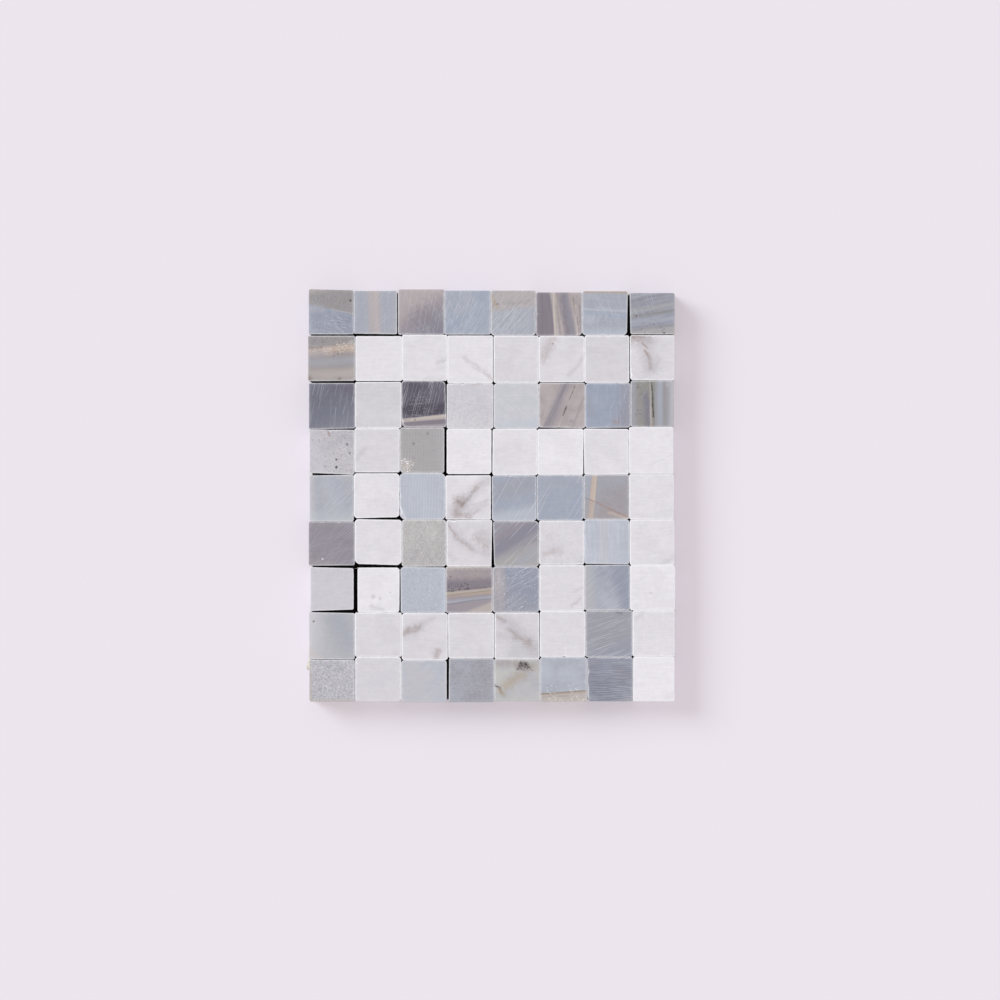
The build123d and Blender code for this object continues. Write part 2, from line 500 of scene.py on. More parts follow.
# %% Patterns and blends
def combine(x, y, z=0.0):
    """A vector from three numbers."""
    tree = next(value.tree for value in (x, y, z) if isinstance(value, Wire))
    return Wire(add(tree, "CombineXYZ", {"X": x, "Y": y, "Z": z}).outputs[0])


def split_colour(colour):
    """The red, green and blue of a colour."""
    return [Wire(socket) for socket in add(colour.tree, "SeparateColor", {"Color": colour}).outputs]


def ease(value, low, high, start=0.0, end=1.0):
    """A smooth step: start below low, end above high."""
    values = {"Value": value, "From Min": low, "From Max": high, "To Min": start, "To Max": end}
    return Wire(add(value.tree, "MapRange", values, interpolation_type="SMOOTHSTEP").outputs["Result"])


def mix(factor, first, second):
    """A colour between first and second."""
    return Wire(add(factor.tree, "Mix", {0: factor, 6: first, 7: second}, data_type="RGBA").outputs[2])


def noise(given, scale=1.0, detail=3.0, roughness=0.55, at=None, seed=None, colour=False):
    """Soft noise at the group's place or another; its seed moves it to another part of the pattern."""
    place = at or given.place
    node = add(place.tree, "TexNoise", {
        "Vector": place, "W": seed or given.seed, "Scale": scale, "Detail": detail,
        "Roughness": roughness}, noise_dimensions="4D")
    return Wire(node.outputs["Color" if colour else "Fac"])


def white_noise(place):
    """White noise at a place: a random number, and a colour that holds three more."""
    node = add(place.tree, "TexWhiteNoise", {"Vector": place}, noise_dimensions="3D")
    return Wire(node.outputs["Value"]), Wire(node.outputs["Color"])


def cells(place, scale):
    """A Voronoi pattern: the distance from the nearest cell's middle, and that cell's random colour."""
    node = add(place.tree, "TexVoronoi", {"Vector": place, "Scale": scale}, voronoi_dimensions="3D")
    return Wire(node.outputs["Distance"]), Wire(node.outputs["Color"])


def within(distance, reach, softness):
    """1 nearer than a reach and 0 beyond it, with a soft edge between them."""
    return ease(distance, reach - softness, reach + softness, 1.0, 0.0)


def near_centre(given, sharp=0.5):
    """1 round the group's centre, fading from the given share of its reach to 0 at the reach."""
    far = calc("DISTANCE", given.place, given.centre)
    return ease(far, given.reach * sharp, given.reach, 1.0, 0.0)


# %% New groups
GREY = (0.5, 0.5, 0.5, 1.0)
RIGHT = (1.0, 0.0, 0.0)
DOWN = (0.0, 1.0, 0.0)
TILT = 0.35
BEDDING = (0.0, 1.0, TILT)
PLACED = {"Place": (0.0, 0.0, 0.0), "Seed": 0.0}
LAYER = {"Color": GREY, **PLACED}
ROUND_A_POINT = {"Centre": (0.5, 0.5, 0.0), "Reach": 3.0, "Strength": 0.5}
KINDS = {0: "NodeSocketFloat", 3: "NodeSocketVector", 4: "NodeSocketColor"}


def new_group(name, inputs, outputs=("Color",)):
    """An empty shader group: wires of its inputs by name, and its output sockets by name.

    A number, three numbers or four as an input's usual value make it a number, a vector or a colour.
    """
    tree = bpy.data.node_groups.new(name, "ShaderNodeTree")
    for label, value in inputs.items():
        kind = KINDS[len(value) if isinstance(value, tuple) else 0]
        tree.interface.new_socket(label, in_out="INPUT", socket_type=kind).default_value = value
    for label in outputs:
        kind = KINDS[4 if label == "Color" else 0]
        tree.interface.new_socket(label, in_out="OUTPUT", socket_type=kind)
    sockets = tree.nodes.new("NodeGroupInput").outputs
    given = {socket.name.lower().replace(" ", "_"): Wire(socket) for socket in sockets if socket.name}
    return SimpleNamespace(**given), tree.nodes.new("NodeGroupOutput").inputs


# %% [markdown]
# ## The cloudy ground
#
# Two colours of the same marble melt into each other in clouds, and a fine grain lies over them: the
# crystals. The marble's bedding runs level across the face and leans a little with depth, and part
# of the grain is drawn out along it in short fibres.

# %% Group: cloudy ground
given, result = new_group("Cloudy ground", {
    **PLACED, "Light": GREY, "Dark": GREY, "Clouds": 2.0, "Grain": 0.16})
bed = combine(given.place @ RIGHT, given.place @ BEDDING)
depth = given.place * (0.0, 0.0, 1.0)
cloud = ease(noise(given, given.clouds, 4.0, 0.58, at=bed + depth), 0.3, 0.7)
colour = mix(cloud, given.light, given.dark)
fine = noise(given, 30.0, 3.0, 0.8)
coarse = noise(given, 9.0, 3.0, 0.6)
fibres = noise(given, 1.0, 2.0, 0.6, at=bed * (3.0, 26.0, 1.0))
grain = fine + coarse + fibres - 1.5
feed(result["Color"], colour * (grain * given.grain + 1.0))

# %% [markdown]
# ## Bands
#
# A band is a stretch of another colour on both sides of a line. The distance from the line comes
# from one dot product with the band's normal. Noise bends the line, and a second noise, squeezed
# across the band, breaks its inside into thin layers.

# %% Group: band
given, result = new_group("Band of sediment", {
    **LAYER, "Band Color": GREY, "At": (0.5, 0.5, 0.0), "Normal": DOWN, "Along": RIGHT,
    "Half Width": 0.1, "Softness": 0.03, "Waviness": 0.03, "Layers": 0.3, "Strength": 1.0})
from_line = given.place - given.at
bend = noise(given, 2.6) - 0.5
ragged = noise(given, 13.0, 4.0, 0.7) - 0.5
distance = from_line @ given.normal + bend * given.waviness + ragged * given.softness
squeezed = combine(distance * 16.0, from_line @ given.along)
layers = ease(noise(given, 1.0, 4.0, 0.65, at=squeezed), 0.35, 0.65)
inside = within(abs(distance), given.half_width, given.softness)
mask = inside * (1.0 - layers * given.layers) * given.strength
feed(result["Color"], mix(mask, given.color, given.band_color))

# %% [markdown]
# ## Strokes: veins, cracks, stains and spots
#
# A stroke is the distance to a short straight line from one point to another. Pushed about by
# noise it wanders like a vein; thin and sharp it is a crack; wide and patchy it is a stain; and
# when both ends are the same point it is a spot. Depth 1 keeps a spot near the surface, while
# depth 0 lets a vein run down through the stone.

# %% Group: stroke
given, result = new_group("Vein or spot", {
    **LAYER, "Stroke Color": GREY, "Start": (0.0, 0.0, 0.0), "End": (1.0, 1.0, 0.0),
    "Half Width": 0.02, "Softness": 0.02, "Wander": 0.1, "Patchiness": 0.3, "Depth": 0.0,
    "Strength": 1.0})
push = noise(given, 4.5, 6.0, 0.7, colour=True) - (0.5, 0.5, 0.5)
moved = (given.place + push * given.wander) * combine(1.0, 1.0, given.depth)
from_start = moved - given.start
whole = given.end - given.start
squared = calc("MAXIMUM", whole @ whole, 0.00001)
share = calc("DIVIDE", from_start @ whole, squared, clamp=True)
ragged = noise(given, 14.0, 5.0, 0.75) - 0.5
distance = calc("DISTANCE", from_start, whole * share) + ragged * (given.softness * 2.5)
patches = ease(noise(given, 15.0, 5.0, 0.8), 0.4, 0.6)
inside = within(distance, given.half_width, given.softness)
mask = inside * (1.0 - patches * given.patchiness) * given.strength
feed(result["Color"], mix(mask, given.color, given.stroke_color))

# %% [markdown]
# ## Scratches
#
# The diamond saw and the polishing grit leave straight hair-thin scratches that run much the same
# way. The stone is cut in thought into strips along that way, and each strip into pieces. White
# noise picks which pieces hold a scratch, where in its strip it lies, how bright it is and how far
# it slants. The scratches also come out as a mask, which the surface group presses into the stone.

# %% Group: scratches
given, result = new_group("Scratches", {
    **LAYER, **ROUND_A_POINT, "Line Color": GREY, "Across": DOWN, "Along": RIGHT, "Lines": 20.0,
    "Length": 0.6, "Thickness": 0.012, "Cover": 0.5}, ("Color", "Scratches"))
across = given.place @ given.across + noise(given, 0.7, 0.0) * 0.06
across = (across + 5.0) * given.lines
strip = calc("FLOOR", across)
shift, _ = white_noise(combine(strip, given.seed))
along = (given.place @ given.along) / given.length + shift * 7.0
luck, colour = white_noise(combine(strip, given.seed, calc("FLOOR", along)))
red, green, blue = split_colour(colour)
from_middle = calc("FRACT", along) - 0.5
ends = ease(abs(from_middle), 0.3, 0.5, 1.0, 0.0)
middle = red * 0.5 + 0.25 + (green - 0.5) * from_middle
distance = abs(calc("FRACT", across) - middle) / given.lines
thin = ease(distance, 0.0, given.thickness, 1.0, 0.0)
chosen = (blue < given.cover) * (luck * 0.7 + 0.3)
lines = (thin * ends) * chosen * near_centre(given)
feed(result["Color"], mix(lines * given.strength, given.color, given.line_color))
feed(result["Scratches"], lines)

# %% [markdown]
# ## Curly mottle
#
# Some marbles have grown in short curled threads. A thread is drawn wherever a noise crosses its
# middle value, and a second noise takes some of the threads away.

# %% Group: curly mottle
given, result = new_group("Curly mottle", {
    **LAYER, **ROUND_A_POINT, "Thread Color": GREY, "Scale": 14.0, "Thickness": 0.06, "Cover": 0.7})
field = noise(given, given.scale, 1.0, 0.5)
thin = ease(abs(field - 0.5), 0.0, given.thickness, 1.0, 0.0)
broken_up = noise(given, given.scale, 1.0, seed=given.seed + 9.0)
least = 0.72 - given.cover * 0.4
kept = ease(broken_up, least, least + 0.12)
mask = (thin * kept) * (near_centre(given) * given.strength)
feed(result["Color"], mix(mask, given.color, given.thread_color))

# %% [markdown]
# ## Saw lines
#
# Where the saw blade wandered, it left a comb of even, slightly curved grooves. They are a sine
# across the cut, with its phase bent by slow noise. Light and dark lines take turns, so the sine
# mixes in both a paler and a darker colour.

# %% Group: saw lines
given, result = new_group("Saw lines", {
    **LAYER, **ROUND_A_POINT, "Pale Color": GREY, "Deep Color": GREY, "Across": DOWN, "Lines": 16.0,
    "Bend": 0.08}, ("Color", "Scratches"))
across = given.place @ given.across + noise(given, 1.2, 2.0) * given.bend
wave = calc("SINE", across * given.lines * 6.283)
uneven = ease(noise(given, 6.0, 4.0, 0.7), 0.3, 0.65) * near_centre(given) * given.strength
paler = calc("MAXIMUM", wave, 0.0) * uneven
deeper = calc("MAXIMUM", wave * -1.0, 0.0) * uneven
colour = mix(paler, given.color, given.pale_color)
feed(result["Color"], mix(deeper, colour, given.deep_color))
feed(result["Scratches"], calc("MULTIPLY", deeper, 1.5, clamp=True))

# %% [markdown]
# ## Specks
#
# Crystals and mineral grains are small cells of a Voronoi pattern. Each cell carries a random
# number, so a cover value picks how many cells hold a speck, and the distance from the cell's
# middle gives each one a rounded shape.

# %% Group: specks
given, result = new_group("Specks", {
    **LAYER, **ROUND_A_POINT, "Speck Color": GREY, "Scale": 30.0, "Size": 0.4, "Cover": 0.3})
distance, colour = cells(given.place + combine(given.seed, given.seed, given.seed), given.scale)
red, green, blue = split_colour(colour)
size = given.size * (green + 0.5)
inside = ease(distance, size * 0.5, size, 1.0, 0.0)
mask = (inside * (red < given.cover)) * (near_centre(given, 0.6) * given.strength)
feed(result["Color"], mix(mask, given.color, given.speck_color))

# %% [markdown]
# ## The worn rim with its painted highlight, the painted joint shade, and the surface
#
# Tumbling bruises the arris, and bruised marble turns pale; the pale rim is also a painted highlight
# along the edge. The rim attribute is 1 on the arris and fades to 0 on the face and the sides, so the
# wear and the painted highlight follow the edge wherever it runs. The joint attribute mixes in a
# near-black painted shade deep in a joint. The surface group gives the height and the roughness:
# fine pits, the saw's streaks on the sides, and a crystalline break where a chip is.

# %% Group: worn rim with painted highlight, and painted joint shade
given, result = new_group("Worn rim with highlight, joint shade", {
    **LAYER, "Rim": 0.0, "Joint": 0.0, "Wear Color": GREY, "Dust Color": GREY, "Strength": 0.6})
patches = noise(given, 9.0, 5.0, 0.7)
# Wear and a painted highlight along the rim.
wear_and_highlight = given.rim ** 1.6 * given.strength * ease(patches, 0.35, 0.62, 0.6, 1.0)
colour = mix(wear_and_highlight, given.color, given.wear_color)
# Painted shade: near-black deep in the joints, where little light reaches.
joint_shade_mask = given.joint * ease(patches, 0.25, 0.5, 0.8, 0.97)
feed(result["Color"], mix(joint_shade_mask, colour, given.dust_color))

# %% Group: stone surface
given, result = new_group("Stone surface", {
    **PLACED, "Rim": 0.0, "Broken": 0.0, "Scratches": 0.0, "Polish": 0.45}, ("Height", "Roughness"))
fine = noise(given, 60.0, 3.0, 0.6)
soft = noise(given, 9.0, 3.0, 0.5)
pits, _ = cells(given.place, 26.0)
crystals, _ = cells(given.place, 34.0)
depth = Wire(add(given.place.tree, "SeparateXYZ", {"Vector": given.place}).outputs["Z"])
side = ease(depth, 0.02, 0.05)
sawn = noise(given, 1.0, 3.0, 0.6, at=given.place * (3.0, 3.0, 46.0))
height = fine * 0.25 + soft * 0.3 + ease(pits, 0.05, 0.22, -0.5, 0.0) + (sawn * side) * 1.2
height = height - given.scratches * 0.35 + crystals * (given.broken * 1.6)
feed(result["Height"], height)
rough = given.polish + (soft - 0.5) * 0.18 + given.rim * 0.12 + side * 0.22
feed(result["Roughness"], calc("ADD", rough, given.scratches * 0.1, clamp=True))
print(len(bpy.data.node_groups), "shader groups")

# %% [markdown]
# ## A palette of marbles
#
# A few dozen named colours are enough for all the stones. They are written the way a painter reads
# them off a screen, 0 to 255, and turned into the linear values that Blender mixes light with.

# %% Palette
PALETTE = {
    "snow": (232, 228, 235), "white": (226, 222, 229), "soft white": (219, 215, 222),
    "cloud": (212, 208, 215), "mist": (204, 201, 208), "pale grey": (193, 190, 197),
    "aqua": (194, 198, 204), "ice": (190, 195, 208), "sky": (182, 186, 198),
    "lilac": (202, 199, 208), "dove": (179, 178, 185), "pebble": (169, 166, 168),
    "blue grey": (166, 169, 181), "steel light": (160, 166, 183), "celadon": (193, 192, 189),
    "steel": (151, 159, 177), "slate blue": (148, 151, 167), "pewter": (157, 156, 165),
    "slate light": (136, 135, 148), "slate": (117, 118, 132), "charcoal": (106, 101, 114),
    "coal": (88, 84, 97), "plum": (129, 121, 131), "mauve": (147, 141, 151),
    "heather": (157, 148, 156), "taupe": (164, 155, 157), "rose grey": (182, 172, 175),
    "sage": (152, 148, 151), "moss": (142, 141, 137), "sand": (183, 174, 171),
    "peach": (196, 178, 167), "cream": (201, 190, 183), "tan": (174, 160, 149),
    "ochre": (172, 154, 130), "umber": (104, 89, 82), "rust": (158, 130, 124),
    "soot": (64, 59, 70), "ink": (46, 40, 44), "glint": (234, 236, 244),
    # The near-black colours at the end of the next line and the start of the one after are painted shade for
    # the joints.
    "cream white": (226, 221, 206), "flax": (196, 186, 164), "joint shade": (18, 14, 14),
    "deepest joint shade": (12, 10, 10), "smoke": (190, 186, 192), "brown vein": (160, 145, 143),
    # The arris white is the colour of worn marble and of the painted highlight on the rim.
    "vein": (184, 173, 174), "arris white": (247, 245, 250),
}


def paint(name):
    """A palette colour, as the linear values of a colour socket."""
    shares = np.array(PALETTE[name]) / 255
    linear = np.where(shares < 0.04045, shares / 12.92, ((shares + 0.055) / 1.055) ** 2.4)
    return (*linear.tolist(), 1.0)


# %% [markdown]
# ## Words for the figures
#
# Each helper below says one thing about a stone, such as a band at a place and an angle, and gives
# back the group's name with its values. Angles are in degrees as seen from above: 0 is level, 90
# is upright, and more than 0 rises to the right. Y runs down the stone, so a direction's Y is the
# negative of its sine. Scratches, saw lines, mottle and specks can be kept round a point: then its
# place and a reach are given with them.

# %% Words for bands and strokes
HALF_PLANE = 1.5


def facing(angle):
    """The direction along an angle and the normal across it, leaning a little with depth."""
    a = math.radians(angle)
    return (math.cos(a), -math.sin(a), 0.0), (math.sin(a), math.cos(a), TILT)


def band(colour, at, angle, width, soft=0.03, wave=0.04, layers=0.3, strength=1.0):
    """A band centred on the line through a point."""
    along, normal = facing(angle)
    return "Band of sediment", {
        "Band Color": paint(colour), "At": (*at, 0.0), "Normal": normal, "Along": along,
        "Half Width": width / 2, "Softness": soft, "Waviness": wave, "Layers": layers,
        "Strength": strength}


def past(colour, at, angle, soft=0.03, wave=0.04, layers=0.15, strength=1.0, way=1):
    """Everything below the line through a point, or right of it when the line is upright."""
    _, normal = facing(angle)
    far = (at[0] + HALF_PLANE * way * normal[0], at[1] + HALF_PLANE * way * normal[1])
    return band(colour, far, angle, 2 * HALF_PLANE, soft, wave, layers, strength)


def before(colour, at, angle, soft=0.03, wave=0.04, layers=0.15, strength=1.0):
    """Everything above the line through a point, or left of it when the line is upright."""
    return past(colour, at, angle, soft, wave, layers, strength, -1)


def vein(colour, start, end, width=0.03, soft=0.02, wander=0.12, patchy=0.4, strength=0.8, depth=0.0):
    """A wandering line from one point to another."""
    return "Vein or spot", {
        "Stroke Color": paint(colour), "Start": (*start, 0.0), "End": (*end, 0.0),
        "Half Width": width / 2, "Softness": soft, "Wander": wander, "Patchiness": patchy,
        "Depth": depth, "Strength": strength}


def haze(colour, start, end, width=0.12, strength=0.5):
    """A wide soft vein with no clear edge."""
    return vein(colour, start, end, width, width * 0.6, 0.25, 0.35, strength)


def spot(colour, at, size=0.04, soft=0.015, wander=0.03, patchy=0.0, strength=0.9):
    """A spot that stays near the face: a vein with both ends at one point."""
    return vein(colour, at, at, size, soft, wander, patchy, strength, 1.0)


# %% Words for scratches, saw lines, mottle and specks
MIDDLE = (0.5, 0.5)
EVERYWHERE = 3.0
SCRATCH_THICKNESS = 0.0095


def scratches(angle, lines=24, cover=0.5, strength=0.5, centre=MIDDLE, reach=EVERYWHERE,
              colour="glint", long=0.6):
    """Hair-thin bright lines along an angle."""
    along, across = facing(angle)
    return "Scratches", {
        "Line Color": paint(colour), "Across": across, "Along": along, "Lines": lines, "Length": long,
        "Thickness": SCRATCH_THICKNESS, "Cover": cover, "Centre": (*centre, 0.0), "Reach": reach,
        "Strength": strength}


def saw(angle, lines=16, strength=0.4, pale="glint", deep="slate", bend=0.08, centre=MIDDLE,
        reach=EVERYWHERE):
    """A comb of even grooves along an angle."""
    return "Saw lines", {
        "Pale Color": paint(pale), "Deep Color": paint(deep), "Across": facing(angle)[1],
        "Lines": lines, "Bend": bend, "Centre": (*centre, 0.0), "Reach": reach, "Strength": strength}


def worms(colour, size=14, cover=0.8, strength=0.5, thick=0.06, centre=MIDDLE, reach=EVERYWHERE):
    """Short curly lines."""
    return "Curly mottle", {
        "Thread Color": paint(colour), "Scale": size, "Thickness": thick, "Cover": cover,
        "Centre": (*centre, 0.0), "Reach": reach, "Strength": strength}


def specks(colour, scale=30.0, size=0.4, cover=0.3, strength=0.6, centre=MIDDLE, reach=EVERYWHERE):
    """Small rounded grains."""
    return "Specks", {
        "Speck Color": paint(colour), "Scale": scale, "Size": size, "Cover": cover,
        "Centre": (*centre, 0.0), "Reach": reach, "Strength": strength}


# %% [markdown]
# ## One material for each stone
#
# A stone's material is its ground, its layers in order, the worn rim with its painted highlight and
# painted joint shade, and the surface. The seed differs from stone to stone, so no two grounds have
# the same clouds.

# %% Parts that all the materials share
def new_material(name):
    """An empty material: itself, its tree, and the inputs of its Principled shader."""
    material = bpy.data.materials.new(name)
    material.use_nodes = True
    return material, material.node_tree, material.node_tree.nodes["Principled BSDF"].inputs


def use_group(tree, name, values):
    """A shader group in a tree, fed by name: wires of its results by name."""
    node = tree.nodes.new("ShaderNodeGroup")
    node.node_tree = bpy.data.node_groups[name]
    for label, value in values.items():
        feed(node.inputs[label], value)
    return {socket.name: Wire(socket) for socket in node.outputs}


def attribute(tree, name, socket="Fac"):
    """A point attribute of the mesh: a number as Fac, or a vector as Vector."""
    return Wire(add(tree, "Attribute", attribute_name=name).outputs[socket])


def dress(tree, shader, colour, surface, depth):
    """Feed a shader its colour, the surface's roughness, and its height as a bump of some depth."""
    bump = add(tree, "Bump", {"Height": surface["Height"], "Distance": depth, "Strength": 1.0})
    feed(shader["Base Color"], colour)
    feed(shader["Roughness"], surface["Roughness"])
    feed(shader["Normal"], Wire(bump.outputs["Normal"]))


# %% Material of a stone
BUMP = 0.05 * MM
GLOSS = 0.28
POLISH = 0.45
GRAIN = 0.16
CLOUDS = 2.0
# How strongly each marble's rim shows wear and the painted highlight.
WEAR_AND_HIGHLIGHT = {"g": 0.5, "w": 1.0}
SEED_PER_ROW = 3.7
SEED_PER_COLUMN = 1.3
SEED_PER_LAYER = 0.31


def stone_material(row, column, light, dark, *layers):
    """The material of one stone: ground, layers, worn rim with painted highlight and joint shade, and a
    surface for bump and roughness.
    """
    material, tree, shader = new_material(f"marble_{row}_{column}")
    placed = {"Place": attribute(tree, "place", "Vector")}
    seed = row * SEED_PER_ROW + column * SEED_PER_COLUMN
    rim = attribute(tree, "rim")
    colour = use_group(tree, "Cloudy ground", {
        **placed, "Seed": seed, "Light": paint(light), "Dark": paint(dark), "Clouds": CLOUDS,
        "Grain": GRAIN})["Color"]
    lines = 0.0
    for number, (kind, values) in enumerate(layers):
        layer = use_group(tree, kind, {
            **placed, "Seed": seed + SEED_PER_LAYER * number, "Color": colour, **values})
        colour = layer["Color"]
        if "Scratches" in layer:
            lines = calc("MAXIMUM", lines, layer["Scratches"])
    # The rim mixes in wear and a painted highlight, and the joint a near-black painted shade.
    rimmed = use_group(tree, "Worn rim with highlight, joint shade", {
        **placed, "Seed": seed, "Color": colour, "Rim": rim, "Joint": attribute(tree, "joint"),
        "Wear Color": paint("arris white"), "Dust Color": paint("joint shade"),
        "Strength": WEAR_AND_HIGHLIGHT[KEY[row - 1][column - 1]]})
    surface = use_group(tree, "Stone surface", {
        **placed, "Seed": seed, "Rim": rim, "Broken": attribute(tree, "broken"), "Scratches": lines,
        "Polish": POLISH})
    shader["Specular IOR Level"].default_value = GLOSS
    dress(tree, shader, rimmed["Color"], surface, BUMP)
    return material


# %% [markdown]
# ## The figures, stone by stone
#
# The rows below describe what each stone shows, read from the top left. The ground's two colours
# come first, then the layers. White stones need little: a soft cloud, and here and there a vein.

